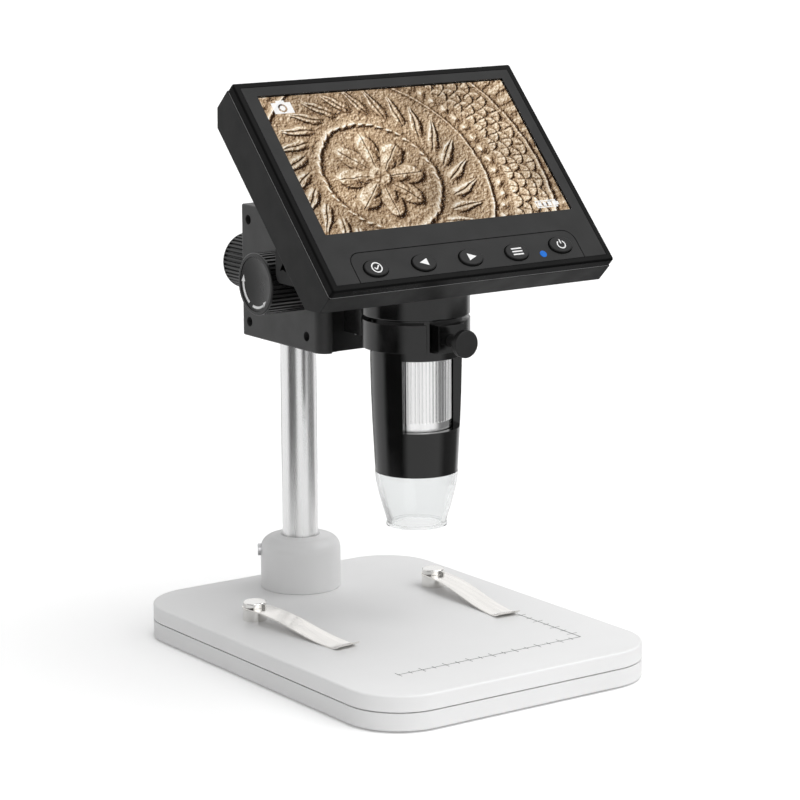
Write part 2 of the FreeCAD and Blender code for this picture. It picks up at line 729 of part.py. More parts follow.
for zs in rack_screw_z:
    screw = rod(1.0, (0, block_front_y + 0.3, zs), (0, 1, 0), rack_root_y - block_front_y - 1.0)
    rack_screws.append(screw.cut(box(-0.15, 0.15, block_front_y, block_front_y + 0.7, zs - 2, zs + 2)))
save(group(rack_screws), "rack_screws")

# Arm with the clamp ring
ring = pipe_at(ring_r, barrel_top_r + 0.07, 0, axis_y, ring_z0, ring_z1)
arm = box(-arm_half_w, arm_half_w, axis_y + barrel_top_r + 1.5, block_front_y, ring_z0, ring_z1)
pad = box(pad_x0, pad_x1, pad_y, axis_y - 12, ring_z0 + 0.15, ring_z1 - 0.15)
arm = ring.fuse(arm).fuse(pad)
arm = arm.cut(post_at(barrel_top_r + 0.07, 0, axis_y, ring_z0 - 1, ring_z1 + 1))
arm = arm.cut(box(slit_x0, slit_x1, axis_y - ring_r - 4, axis_y - 8, ring_z0 - 1, ring_z1 + 1))
arm = arm.cut(rod(clamp_stud_r + run_fit, (0, axis_y - ring_r - 5, clamp_z), (0, 1, 0), 10))
for x in (-dowel_x, dowel_x):
    for z in dowel_z:
        arm = arm.cut(rod(dowel_r, (x, dowel_y0, z), (0, 1, 0), block_front_y))
save(arm.removeSplitter(), "clamp_arm")
dowels = []
for x in (-dowel_x, dowel_x):
    for z in dowel_z:
        dowels.append(rod(dowel_r, (x, dowel_y0, z), (0, 1, 0), tail_y - 0.3 - dowel_y0))
save(group(dowels), "arm_dowels")

clamp_y1 = axis_y - barrel_top_r - body_gap
clamp_stud = rod(clamp_stud_r, (0, clamp_knob_y0 + 1.2, clamp_z), (0, 1, 0), clamp_y1 - clamp_knob_y0 - 1.2)
save(clamp_stud, "clamp_stud")
clamp_knob = post_at(clamp_knob_r, 0, 0, 0, clamp_knob_t)
clamp_knob = clamp_knob.makeFillet(0.5, [e for e in clamp_knob.Edges if e.BoundBox.ZLength < 0.01])
clamp_knob = clamp_knob.fuse(post_at(2.9, 0, 0, clamp_knob_t - 0.1, clamp_knob_t + 1.6))
clamp_knob = clamp_knob.cut(post_at(clamp_stud_r, 0, 0, 1.2, clamp_knob_t + 3))
save(moved(turned(clamp_knob, (1, 0, 0), -90), 0, clamp_knob_y0, clamp_z), "clamp_knob")

# Barrel shell with the window for the focus wheel
window_mid_z = (window_z0 + window_z1) / 2
outer = [(r, z) for z, r in barrel_outline]
inner = [(barrel_wall_r, barrel_outline[-1][0]), (barrel_wall_r, window_z0 - 5.5),
         (barrel_ledge_r, window_z0 - 4.0), (barrel_ledge_r, window_z0 - 1.4),
         (barrel_window_wall_r, window_z0 - 1.4), (barrel_window_wall_r, window_z1 + 0.4),
         (barrel_ledge_r, window_z1 + 0.4), (barrel_ledge_r, window_z1 + 2.0),
         (barrel_wall_r, window_z1 + 3.5), (barrel_wall_r, barrel_outline[0][0])]
barrel = spun(outer + inner, axis_y)
swing = math.radians(window_half_deg)
far = 30.0
cutter = prism([(0, axis_y, window_z0), (-far * math.sin(swing), axis_y - far * math.cos(swing), window_z0),
                (0, axis_y - far * 1.6, window_z0),
                (far * math.sin(swing), axis_y - far * math.cos(swing), window_z0)],
               (0, 0, window_z1 - window_z0))
window_cut = cutter.cut(post_at(barrel_window_wall_r - 1.0, 0, axis_y, window_z0 - 1, window_z1 + 1))
barrel = barrel.cut(window_cut)
save(barrel, "barrel_shell")

neck = pipe_at(neck_r, barrel_top_r + 0.05, 0, axis_y, neck_z0, wedge_bottom_z)
neck = neck.makeFillet(0.4, [e for e in neck.Edges if e.BoundBox.ZMax < neck_z0 + 0.01
                             and e.BoundBox.XLength > 2 * neck_r - 1])
neck = neck.fuse(pipe_at(neck_spigot_r, barrel_top_r + 0.05, 0, axis_y, wedge_bottom_z - 0.01,
                         wedge_bottom_z + head_wall + neck_nut_t + 1.2))
save(neck.removeSplitter(), "neck_tube")
nut_z = wedge_bottom_z + head_wall
save(pipe_at(neck_nut_r, neck_spigot_r, 0, axis_y, nut_z, nut_z + neck_nut_t), "neck_nut")

# Focus wheel, lens carrier and lens
wheel_z0 = window_z0 - 1.4 + body_gap
wheel_z1 = window_z1 + 0.4 - body_gap
wheel = ridged(wheel_r, wheel_rib_depth, wheel_ribs, wheel_z1 - wheel_z0 - wheel_band)
wheel = moved(wheel, 0, axis_y, wheel_z0 + wheel_band)
wheel = wheel.fuse(post_at(wheel_r, 0, axis_y, wheel_z0, wheel_z0 + wheel_band))
wheel = wheel.cut(post_at(wheel_bore_r, 0, axis_y, wheel_z0 - 1, wheel_z1 + 1))
save(wheel, "focus_wheel")
carrier_z1 = carrier_z0 + carrier_len
carrier = pipe_at(carrier_r, carrier_bore_r, 0, axis_y, carrier_z0, carrier_z1)
for i in range(3):
    groove_z = carrier_z0 + 3.0 + 4.0 * i
    carrier = carrier.cut(pipe_at(carrier_r + 1, carrier_r - 0.4, 0, axis_y, groove_z, groove_z + 0.8))
save(carrier, "lens_carrier")
lens_z = carrier_z0 + 2.0
bulge_r = 14.0
blank = post_at(lens_r, 0, axis_y, lens_z, lens_z + lens_t)
lens = blank.common(Part.makeSphere(bulge_r, Vector(0, axis_y, lens_z + bulge_r)))
lens = lens.common(Part.makeSphere(bulge_r, Vector(0, axis_y, lens_z + lens_t - bulge_r)))
save(lens, "lens")

# Lamp ring, clear tip and the image sensor
led_board = pipe_at(barrel_wall_r - 0.1, led_board_hole_r, 0, axis_y, led_board_z, led_board_z + led_board_t)
save(led_board, "led_board")
leds = []
for i in range(led_count):
    a = 2 * math.pi * (i + 0.5) / led_count
    x = led_ring_r * math.cos(a)
    y = axis_y + led_ring_r * math.sin(a)
    led = post_at(led_r, x, y, led_board_z - led_t, led_board_z)
    leds.append(led)
save(group(leds), "leds")
tip_in = [(z, r - tip_wall) for z, r in tip_outline]
tip = smooth_spun(tip_outline, tip_in, axis_y)
spigot_r = barrel_wall_r - 0.05
tip = tip.fuse(pipe_at(spigot_r, tip_outline[0][1] - tip_wall, 0, axis_y, tip_outline[0][0] - 1.0,
                       tip_outline[0][0] + tip_spigot))
rim_z = tip_outline[-1][0]
rim_r = tip_outline[-1][1]
tip = tip.fuse(pipe_at(rim_r + 0.35, rim_r - tip_wall - 0.6, 0, axis_y, rim_z, rim_z + 0.8))
save(tip, "clear_tip")
sensor_board = post_at(sensor_board_r, 0, axis_y, sensor_board_z, sensor_board_z + sensor_board_t)
sensor_board = sensor_board.fuse(pipe_at(barrel_wall_r, sensor_board_r - 0.5, 0, axis_y, sensor_board_z,
                                         sensor_board_z + sensor_board_t))
half = sensor_w / 2
sensor_board = sensor_board.fuse(box(-half, half, axis_y - half, axis_y + half,
                                     sensor_board_z - sensor_t, sensor_board_z))
save(sensor_board.removeSplitter(), "sensor_board")

# Head: rear shell, drawn flat as (x, depth, height up the face) and tipped back
half_w = head_w / 2


def side_outline(inset, front):
    # section of the screen box, drawn in from the outside by inset
    k = inset * math.tan(math.radians(22.5))
    back = head_back - inset
    top = head_h - inset
    return [(front, inset), (head_back - chamfer_bottom - k, inset), (back, chamfer_bottom + k),
            (back, head_h - chamfer_top - k), (head_back - chamfer_top - k, top), (front, top)]


def screen_box(inset, front):
    pts = [(-half_w + inset, d, u) for d, u in side_outline(inset, front)]
    return prism(pts, (head_w - 2 * inset, 0, 0))


def wedge(inset):
    # block behind the screen, in the stand's own frame; its sloping side lies inside the screen box
    rear = wedge_rear_y - inset
    low = wedge_bottom_z + inset
    x0 = -wedge_half_w + inset
    foot = face_foot_y + (head_back - chamfer_bottom) * math.cos(math.radians(tilt_deg)) + inset
    top = wedge_top_z - inset
    body = prism([(x0, foot + inset, low), (x0, rear, low), (x0, rear, top - inset)],
                 (2 * (wedge_half_w - inset), 0, 0))
    corner = [e for e in body.Edges if is_along(e, "x") and e.BoundBox.ZMax < low + 0.1
              and e.BoundBox.YMin > rear - 0.1]
    return body.makeFillet(max(0.5, wedge_corner_r - inset), corner)


rear = tipped(screen_box(0, shell_front)).fuse(wedge(0))
rear = rear.cut(tipped(screen_box(head_wall, shell_front - 1)))
rear = rear.cut(wedge(head_wall))
rear = rear.cut(post_at(neck_spigot_r + 0.02, 0, axis_y, wedge_bottom_z - 5, wedge_bottom_z + 12))
lip_t = 1.1
lip = box(-half_w + head_wall, half_w - head_wall, bezel_t, shell_front + 3, head_wall, head_h - head_wall)
lip = lip.cut(box(-half_w + head_wall + lip_t, half_w - head_wall - lip_t, 0, 20,
                  head_wall + lip_t, head_h - head_wall - lip_t))
rear = rear.fuse(tipped(lip))
for sx in (-1, 1):
    for u in head_screw_u:
        boss = rod(3.2, (sx * head_screw_x, bezel_t + module_t + 0.2, u), (0, 1, 0), head_back - bezel_t - module_t - 1)
        rear = rear.fuse(tipped(boss))
for sx in (-1, 1):
    for u in head_screw_u:
        bore = rod(head_screw_r + run_fit, (sx * head_screw_x, 0, u), (0, 1, 0), head_back + 1)
        sink = rod(head_screw_head_r + 0.1, (sx * head_screw_x, head_back - head_screw_sink - 1.2, u), (0, 1, 0), 6)
        rear = rear.cut(tipped(bore)).cut(tipped(sink))
card_cut = box(wedge_half_w - 4, wedge_half_w + 2, socket_y - card_w / 2, socket_y + card_w / 2,
               card_z - card_h / 2, card_z + card_h / 2)
usb_cut = box(wedge_half_w - 4, wedge_half_w + 2, socket_y - usb_w / 2, socket_y + usb_w / 2,
              usb_z - usb_h / 2, usb_z + usb_h / 2)
rear = rear.cut(card_cut).cut(usb_cut)
save(rear.removeSplitter(), "head_shell")

# Front frame with a pocket for the face panel
bezel = box(-half_w, half_w, 0, bezel_t, 0, head_h)
front_rim = [e for e in bezel.Edges if e.BoundBox.YMax < 0.01]
corner_edges = [e for e in bezel.Edges if is_along(e, "y")]
bezel = bezel.makeFillet(0.9, corner_edges)
front_rim = [e for e in bezel.Edges if e.BoundBox.YMax < 0.01]
bezel = bezel.makeFillet(head_edge_r, front_rim)
panel_half = half_w - panel_inset
bezel = bezel.cut(box(-panel_half, panel_half, -1, panel_t, panel_inset, head_h - panel_inset))
open_w = lcd_w / 2 + glass_rim
open_h = lcd_h / 2 + glass_rim
bezel = bezel.cut(box(lcd_x - open_w, lcd_x + open_w, 0, bezel_t + 1, lcd_u - open_h, lcd_u + open_h))


def oval(half_x, half_u, x, u, d0, d1):
    ellipse = Part.Ellipse(Vector(0, 0, 0), half_x, half_u)
    face = Part.Face(Part.Wire(ellipse.toShape()))
    face.rotate(Vector(0, 0, 0), Vector(1, 0, 0), 90)
    face.translate(Vector(x, d0, u))
    return face.extrude(Vector(0, d1 - d0, 0))


for x, u in zip(key_x, key_u):
    bezel = bezel.cut(oval(key_half_w + key_gap, key_half_h + key_gap, x, u, 0, bezel_t + 1))
bezel = bezel.cut(rod(lamp_r + run_fit, (lamp_x, 0, lamp_u), (0, 1, 0), bezel_t + 1))
save(tipped(bezel), "front_frame")


def key_panel_shape(grow, d0, d1):
    hw = key_panel_half_w + grow
    top = key_panel_top + grow
    plate = box(-hw, hw, d0, d1, -5, top)
    upper = [e for e in plate.Edges if is_along(e, "y") and e.BoundBox.ZMin > top - 0.01]
    return plate.makeFillet(key_panel_r + grow, upper)


face_box = box(-panel_half + panel_gap, panel_half - panel_gap, 0, panel_t,
               panel_inset + panel_gap, head_h - panel_inset - panel_gap)
panel = face_box.cut(key_panel_shape(key_groove, -1, panel_t + 1))
panel = panel.cut(box(lcd_x - open_w, lcd_x + open_w, -1, 5, lcd_u - open_h, lcd_u + open_h))
save(tipped(panel), "face_panel")
key_plate = face_box.common(key_panel_shape(0, 0, panel_t))
for x, u in zip(key_x, key_u):
    key_plate = key_plate.cut(oval(key_half_w + key_gap, key_half_h + key_gap, x, u, -1, 5))
key_plate = key_plate.cut(rod(lamp_r + run_fit, (lamp_x, -1, lamp_u), (0, 1, 0), 5))
save(tipped(key_plate), "key_plate")

# Screen glass and the display behind it
pane = box(lcd_x - open_w + 0.05, lcd_x + open_w - 0.05, 0, panel_t, lcd_u - open_h + 0.05, lcd_u + open_h - 0.05)
save(tipped(pane), "screen_glass")
display = box(lcd_x - module_w / 2, lcd_x + module_w / 2, bezel_t, bezel_t + module_t,
              lcd_u - module_h / 2, lcd_u + module_h / 2)
stage_w = lcd_w / 2
stage_h = lcd_h / 2
display = display.fuse(box(lcd_x - stage_w, lcd_x + stage_w, panel_t, bezel_t, lcd_u - stage_h, lcd_u + stage_h))
save(tipped(display), "display")

# Keys, each with a stem, and the lamp
for name, x, u in zip(key_names, key_x, key_u):
    key = oval(key_half_w, key_half_h, x, u, -key_stand, bezel_t)
    key = key.makeFillet(0.4, [e for e in key.Edges if e.BoundBox.YMax < -key_stand + 0.01])
    key = key.fuse(oval(key_half_w + key_flange, key_half_h + key_flange, x, u, bezel_t + 0.1, bezel_t + 0.9))
    key = key.fuse(oval(key_half_w, key_half_h, x, u, bezel_t - 0.1, bezel_t + 0.2))
    key = key.fuse(rod(key_stem_r, (x, bezel_t + 0.8, u), (0, 1, 0), board_d - key_travel_room - bezel_t - 0.8))
    save(tipped(key), name)
lamp = rod(lamp_r, (lamp_x, -0.1, lamp_u), (0, 1, 0), board_d + 0.1)
save(tipped(lamp), "status_lamp")

# Main board, sockets and battery
board = box(-board_w / 2, board_w / 2, board_d, board_d + board_t, head_wall + 1.5, head_wall + 1.5 + board_h)
for sx in (-1, 1):
    for u in head_screw_u:
        board = board.cut(rod(3.5, (sx * head_screw_x, 0, u), (0, 1, 0), 20))
save(tipped(board), "main_board")
port_x = wedge_half_w - head_wall
card_box = box(port_x - 14, port_x, socket_y - card_w / 2 - 1, socket_y + card_w / 2 + 1,
               card_z - card_h / 2 - 0.6, card_z + card_h / 2 + 0.6)
card_box = card_box.cut(box(port_x - 11, port_x + 1, socket_y - card_w / 2 + 0.5, socket_y + card_w / 2 - 0.5,
                            card_z - 0.5, card_z + 0.5))
save(card_box, "card_socket")
usb_box = box(port_x - 8, port_x, socket_y - usb_w / 2 + 0.3, socket_y + usb_w / 2 - 0.3,
              usb_z - usb_h / 2 + 0.3, usb_z + usb_h / 2 - 0.3)
usb_box = usb_box.cut(box(port_x - 6, port_x + 1, socket_y - usb_w / 2 + 0.8, socket_y + usb_w / 2 - 0.8,
                          usb_z - usb_h / 2 + 0.8, usb_z + usb_h / 2 - 0.8))
save(usb_box, "usb_socket")
battery = box(battery_x0, battery_x0 + battery_w, battery_y, battery_y + battery_t, battery_z, battery_z + battery_h)
save(battery, "battery")

head_screws = []
for sx in (-1, 1):
    for u in head_screw_u:
        head_d = head_back - head_screw_sink
        head = rod(head_screw_head_r, (sx * head_screw_x, head_d - 1.2, u), (0, 1, 0), 1.2)
        shank = rod(head_screw_r, (sx * head_screw_x, bezel_t + module_t + 0.6, u), (0, 1, 0),
                    head_d - 1.2 - bezel_t - module_t - 0.6)
        cross = box(sx * head_screw_x - 1.5, sx * head_screw_x + 1.5, head_d - 0.5, head_d + 1, u - 0.25, u + 0.25)
        cross = cross.fuse(box(sx * head_screw_x - 0.25, sx * head_screw_x + 0.25, head_d - 0.5, head_d + 1,
                               u - 1.5, u + 1.5))
        head_screws.append(tipped(head.fuse(shank).cut(cross)))
save(group(head_screws), "head_screws")
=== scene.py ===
import json
import math

import bpy
import numpy as np
from mathutils import Matrix, Vector


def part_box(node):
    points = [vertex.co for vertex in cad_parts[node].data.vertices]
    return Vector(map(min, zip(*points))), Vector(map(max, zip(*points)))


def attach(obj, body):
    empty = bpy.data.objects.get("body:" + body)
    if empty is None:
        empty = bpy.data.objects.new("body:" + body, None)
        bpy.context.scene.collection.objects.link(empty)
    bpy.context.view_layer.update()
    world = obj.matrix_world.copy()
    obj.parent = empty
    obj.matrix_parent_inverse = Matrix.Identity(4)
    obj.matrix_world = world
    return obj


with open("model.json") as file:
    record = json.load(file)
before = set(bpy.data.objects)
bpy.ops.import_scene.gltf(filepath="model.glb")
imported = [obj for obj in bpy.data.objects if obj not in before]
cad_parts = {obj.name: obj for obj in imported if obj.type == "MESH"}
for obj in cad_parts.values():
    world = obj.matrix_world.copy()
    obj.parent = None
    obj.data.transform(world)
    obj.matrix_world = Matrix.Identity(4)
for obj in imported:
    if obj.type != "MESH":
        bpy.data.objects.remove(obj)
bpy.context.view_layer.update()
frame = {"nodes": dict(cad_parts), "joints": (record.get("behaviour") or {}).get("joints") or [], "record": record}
nodes = frame["nodes"]

MM = 0.001


# Materials

# Most of a noise texture's values lie between these two
NOISE_LOW = 0.3
NOISE_HIGH = 0.7
PATCHES_PER_CLOUD = 2.3
GRAIN_DETAIL = 2.0
COAT_ROUGH = 0.15
EDGE_SAMPLES = 4
GLASS_CLOUD = 90.0
GLASS_PATCHES = 300.0
GLASS_SHADE = 0.985
GLASS_SPREAD = 0.4
LAMP_CLOUD = 900.0
LAMP_SHADE = 0.8
LAMP_SPECULAR = 0.1
LAMP_ROUGH = 0.25


def new_material(name):
    mat = bpy.data.materials.new(name)
    mat.use_nodes = True
    return mat, mat.node_tree, mat.node_tree.nodes["Principled BSDF"]


def noise(tree, scale, stretch=(1, 1, 1), detail=3.0):
    coord = tree.nodes.new("ShaderNodeTexCoord")
    spread = tree.nodes.new("ShaderNodeMapping")
    spread.inputs["Scale"].default_value = stretch
    tex = tree.nodes.new("ShaderNodeTexNoise")
    tex.inputs["Scale"].default_value = scale
    tex.inputs["Detail"].default_value = detail
    tree.links.new(coord.outputs["Object"], spread.inputs["Vector"])
    tree.links.new(spread.outputs["Vector"], tex.inputs["Vector"])
    return tex.outputs["Fac"]


def ranged(tree, value, low, high):
    node = tree.nodes.new("ShaderNodeMapRange")
    node.inputs["From Min"].default_value = NOISE_LOW
    node.inputs["From Max"].default_value = NOISE_HIGH
    node.inputs["To Min"].default_value = low
    node.inputs["To Max"].default_value = high
    tree.links.new(value, node.inputs["Value"])
    return node.outputs["Result"]


def two_tone(tree, value, dark, light):
    ramp = tree.nodes.new("ShaderNodeValToRGB")
    ramp.color_ramp.elements[0].position = NOISE_LOW
    ramp.color_ramp.elements[0].color = (*dark, 1)
    ramp.color_ramp.elements[1].position = NOISE_HIGH
    ramp.color_ramp.elements[1].color = (*light, 1)
    tree.links.new(value, ramp.inputs["Fac"])
    return ramp.outputs["Color"]


def grey(v):
    return (v, v, v)


def shaded(colour, factor):
    return tuple(min(1.0, c * factor) for c in colour)


def surface(name, colour, rough, metal=0.0, specular=0.5, tone=0.06, rough_spread=0.06, cloud=60.0,
            grain=1800.0, bump=0.15, depth=0.02, stretch=(1, 1, 1), coat=0.0, edge=0.0):
    """Clouded colour, uneven roughness and a fine grain; edge softens hard edges by that many mm."""
    mat, tree, shader = new_material(name)
    clouds = noise(tree, cloud, stretch)
    colours = two_tone(tree, clouds, shaded(colour, 1 - tone), shaded(colour, 1 + tone))
    tree.links.new(colours, shader.inputs["Base Color"])
    patches = noise(tree, cloud * PATCHES_PER_CLOUD, stretch)
    uneven = ranged(tree, patches, rough - rough_spread, rough + rough_spread)
    tree.links.new(uneven, shader.inputs["Roughness"])
    shader.inputs["Metallic"].default_value = metal
    shader.inputs["Specular IOR Level"].default_value = specular
    shader.inputs["Coat Weight"].default_value = coat
    shader.inputs["Coat Roughness"].default_value = COAT_ROUGH
    bumps = tree.nodes.new("ShaderNodeBump")
    bumps.inputs["Strength"].default_value = bump
    bumps.inputs["Distance"].default_value = depth * MM
    tree.links.new(noise(tree, grain, stretch, GRAIN_DETAIL), bumps.inputs["Height"])
    if edge:
        bevel = tree.nodes.new("ShaderNodeBevel")
        bevel.samples = EDGE_SAMPLES
        bevel.inputs["Radius"].default_value = edge * MM
        tree.links.new(bevel.outputs["Normal"], bumps.inputs["Normal"])
    tree.links.new(bumps.outputs["Normal"], shader.inputs["Normal"])
    return mat


def glass(name, colour, rough, ior):
    mat, tree, shader = new_material(name)
    tint = two_tone(tree, noise(tree, GLASS_CLOUD), shaded(colour, GLASS_SHADE), colour)
    tree.links.new(tint, shader.inputs["Base Color"])
    patches = noise(tree, GLASS_PATCHES)
    uneven = ranged(tree, patches, rough * (1 - GLASS_SPREAD), rough * (1 + GLASS_SPREAD))
    tree.links.new(uneven, shader.inputs["Roughness"])
    shader.inputs["Transmission Weight"].default_value = 1.0
    shader.inputs["IOR"].default_value = ior
    return mat


def glowing(name, colour, strength, base):
    mat, tree, shader = new_material(name)
    tone = two_tone(tree, noise(tree, LAMP_CLOUD), shaded(colour, LAMP_SHADE), colour)
    tree.links.new(tone, shader.inputs["Emission Color"])
    shader.inputs["Emission Strength"].default_value = strength
    shader.inputs["Base Color"].default_value = (*base, 1)
    shader.inputs["Specular IOR Level"].default_value = LAMP_SPECULAR
    shader.inputs["Roughness"].default_value = LAMP_ROUGH
    return mat


# Noise drawn out along one axis, for brushed and drawn metal
LONG_X = (0.05, 1, 1)
LONG_Y = (1, 0.04, 1)
LONG_Z = (1, 1, 0.02)
STAND_SURFACES = {
    "white_shell": dict(colour=grey(0.82), rough=0.5, specular=0.3, tone=0.012, cloud=25, edge=0.25),
    "white_stage": dict(colour=grey(0.84), rough=0.42, specular=0.3, tone=0.012, cloud=25),
    "white_collar": dict(colour=grey(0.79), rough=0.3, specular=0.4, tone=0.01, cloud=40, rough_spread=0.02),
    "raw_steel": dict(colour=(0.46, 0.47, 0.48), rough=0.38, metal=1, tone=0.12, stretch=LONG_X),
    "screw_steel": dict(colour=(0.55, 0.55, 0.56), rough=0.28, metal=1, tone=0.1, edge=0.1),
    "foot_rubber": dict(colour=grey(0.02), rough=0.85, specular=0.2, tone=0.2, bump=0.4, depth=0.05),
    "polished_post": dict(colour=grey(0.84), rough=0.27, metal=1, tone=0.02, cloud=160, grain=900,
                          bump=0.01, stretch=LONG_Z, rough_spread=0.02),
    "black_cap": dict(colour=grey(0.015), rough=0.45, tone=0.15),
    "clip_chrome": dict(colour=(0.80, 0.79, 0.77), rough=0.13, metal=1, tone=0.04, edge=0.1,
                        rough_spread=0.04),
    "clip_spring": dict(colour=(0.87, 0.85, 0.82), rough=0.2, metal=1, tone=0.06, cloud=400,
                        stretch=LONG_Y, rough_spread=0.07),
}
BRACKET_SURFACES = {
    "brass_bush": dict(colour=(0.62, 0.42, 0.16), rough=0.3, metal=1, tone=0.1),
    "black_block": dict(colour=grey(0.034), rough=0.46, tone=0.05, bump=0.2, specular=0.35, edge=0.3),
    "dark_screw": dict(colour=grey(0.010), rough=0.45, tone=0.2, specular=0.3),
    "black_knob": dict(colour=grey(0.006), rough=0.34, tone=0.15, specular=0.4),
    "knob_disc": dict(colour=grey(0.008), rough=0.3, tone=0.12, specular=0.3),
    "black_slide": dict(colour=grey(0.005), rough=0.28, tone=0.05, edge=0.25, rough_spread=0.0, bump=0.03),
    "black_arm": dict(colour=grey(0.004), rough=0.2, tone=0.12, edge=0.25),
    "black_thumb": dict(colour=grey(0.010), rough=0.5, tone=0.15, bump=0.3, specular=0.3),
}
HEAD_SURFACES = {
    "black_housing": dict(colour=grey(0.007), rough=0.42, tone=0.1, bump=0.35, depth=0.03, grain=2600,
                          specular=0.15, edge=0.35),
    "black_frame": dict(colour=grey(0.002), rough=0.3, tone=0.1, specular=0.04, edge=0.2),
    "grey_face": dict(colour=grey(0.019), rough=0.42, tone=0.05, bump=0.12, specular=0.1),
    "grey_keys": dict(colour=grey(0.019), rough=0.42, tone=0.05, bump=0.12, specular=0.1),
    "grey_button": dict(colour=grey(0.009), rough=0.34, tone=0.08, specular=0.12, edge=0.15),
    "display": dict(colour=grey(0.01), rough=0.5, tone=0.2),
    "green_board": dict(colour=(0.01, 0.10, 0.035), rough=0.4, tone=0.25, cloud=500, coat=0.3),
    "lamp_board": dict(colour=grey(0.75), rough=0.5, tone=0.05, cloud=500),
    "socket_metal": dict(colour=grey(0.62), rough=0.3, metal=1, tone=0.08),
    "battery_wrap": dict(colour=(0.03, 0.09, 0.32), rough=0.35, tone=0.1),
    "black_barrel": dict(colour=grey(0.004), rough=0.15, tone=0.12, bump=0.05, specular=0.5, edge=0.2,
                         rough_spread=0.03),
    "black_ring": dict(colour=grey(0.004), rough=0.3, tone=0.15, specular=0.35),
    "silver_wheel": dict(colour=grey(0.90), rough=0.2, metal=1, tone=0.05, cloud=500, stretch=LONG_Z),
}
GLASSES = {
    "screen_glass": dict(colour=(1.0, 1.0, 1.0), rough=0.02, ior=1.06),
    "clear_plastic": dict(colour=(0.94, 0.95, 0.95), rough=0.02, ior=1.49),
    "lens_glass": dict(colour=(0.93, 0.97, 0.98), rough=0.01, ior=1.5),
}
LAMPS = {
    "blue_lamp": dict(colour=(0.0, 0.14, 0.56), strength=1.0, base=(0.0, 0.02, 0.1)),
    "lamp_white": dict(colour=(1.0, 0.97, 0.88), strength=0.35, base=(0.9, 0.88, 0.7)),
}
finishes = {}
for looks in (STAND_SURFACES, BRACKET_SURFACES, HEAD_SURFACES):
    finishes.update({slot: surface(slot, **look) for slot, look in looks.items()})
finishes.update({slot: glass(slot, **look) for slot, look in GLASSES.items()})
finishes.update({slot: glowing(slot, **look) for slot, look in LAMPS.items()})

for sub in frame["record"]["subparts"]:
    mesh = nodes[sub["node"]].data
    mesh.materials.clear()
    mesh.materials.append(finishes[sub["material_slot"]])


# Pieces made here

def add_mesh(name, verts, faces, mat, body):
    mesh = bpy.data.meshes.new(name)
    mesh.from_pydata([tuple(v) for v in verts], [], faces)
    mesh.materials.append(mat)
    mesh.update()
    ob = bpy.data.objects.new(name, mesh)
    bpy.context.scene.collection.objects.link(ob)
    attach(ob, body)
    return ob


def flat_print(name, outlines, place, mat, body):
    """Printed marks: closed 2-D outlines in mm, set down by place(x, y)."""
    verts, faces = [], []
    for outline in outlines:
        start = len(verts)
        verts += [place(x, y) for x, y in outline]
        faces.append(tuple(range(start, len(verts))))
    return add_mesh(name, verts, faces, mat, body)


def stroke(points, width):
    """Quads along a polyline of 2-D points."""
    quads = []
    for (ax, ay), (bx, by) in zip(points, points[1:]):
        along = math.hypot(bx - ax, by - ay)
        nx, ny = -(by - ay) / along * width / 2, (bx - ax) / along * width / 2
        quads.append([(ax + nx, ay + ny), (bx + nx, by + ny), (bx - nx, by - ny), (ax - nx, ay - ny)])
    return quads


def arc_points(cx, cy, r, start, end, steps):
    turns = [math.radians(start + (end - start) * i / steps) for i in range(steps + 1)]
    return [(cx + r * math.cos(t), cy + r * math.sin(t)) for t in turns]


def band(cx, cy, r, width, start, end, steps=24):
    """A curved strip as quads that share their ends."""
    outer = arc_points(cx, cy, r + width / 2, start, end, steps)
    inner = arc_points(cx, cy, r - width / 2, start, end, steps)
    return [[outer[i], outer[i + 1], inner[i + 1], inner[i]] for i in range(steps)]


white_print = surface("white_print", grey(0.82), 0.5, tone=0.05, cloud=300, specular=0.2)
black_print = surface("black_print", grey(0.0006), 0.7, tone=0.2, specular=0.0)
PRINT_LIFT = 0.02

# Directions on the face of the head, from the frame: into the face, up the face
INTO = Vector(next(j["axis"] for j in frame["joints"] if j["name"] == "confirm_press")).normalized()
UP = Vector((0, -INTO.z, INTO.y))
PANEL_T = 0.8 * MM
PANEL_EDGE = 2.25 * MM
panel_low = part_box("face_panel")[0]
FACE_FOOT = Vector((0, panel_low.y, panel_low.z - PANEL_T * INTO.z)) - UP * PANEL_EDGE


def on_face(depth):
    """Places (x, u) in mm on the plane that lies depth mm behind the front of the head."""
    return lambda x, u: FACE_FOOT + Vector((x * MM, 0, 0)) + UP * (u * MM) + INTO * (depth * MM)


# Light grey strip in the seam between the front frame and the housing: a painted highlight, standing in for the
# light caught along the frame's edge
FRAME_T = 3.2
SEAM_FROM = 3.22
SEAM_TO = 3.53
SEAM_IN = 0.06
SEAM_WIDE = 1.6
HIGHLIGHT_STRIP_CORNER = 1.0
HIGHLIGHT_STRIP_CORNER_MIN = 0.2
CORNER_STEPS = 3
frame_low, frame_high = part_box("front_frame")
HEAD_HALF = (frame_high.x - frame_low.x) / 2 / MM
# The frame's box ends towards +Y at its upper edge, FRAME_T behind the front
HEAD_TALL = ((frame_high.y - FACE_FOOT.y) / MM - FRAME_T * INTO.y) / UP.y


def highlight_strip_loop(inset, depth):
    """A closed loop with rounded corners, inset mm inside the head's outline."""
    place = on_face(depth)
    r = max(HIGHLIGHT_STRIP_CORNER - inset, HIGHLIGHT_STRIP_CORNER_MIN)
    x, low, high = HEAD_HALF - inset - r, inset + r, HEAD_TALL - inset - r
    spots = []
    for cx, cu, start in ((-x, low, 180), (x, low, 270), (x, high, 0), (-x, high, 90)):
        spots += [place(*p) for p in arc_points(cx, cu, r, start, start + 90, CORNER_STEPS)]
    return spots


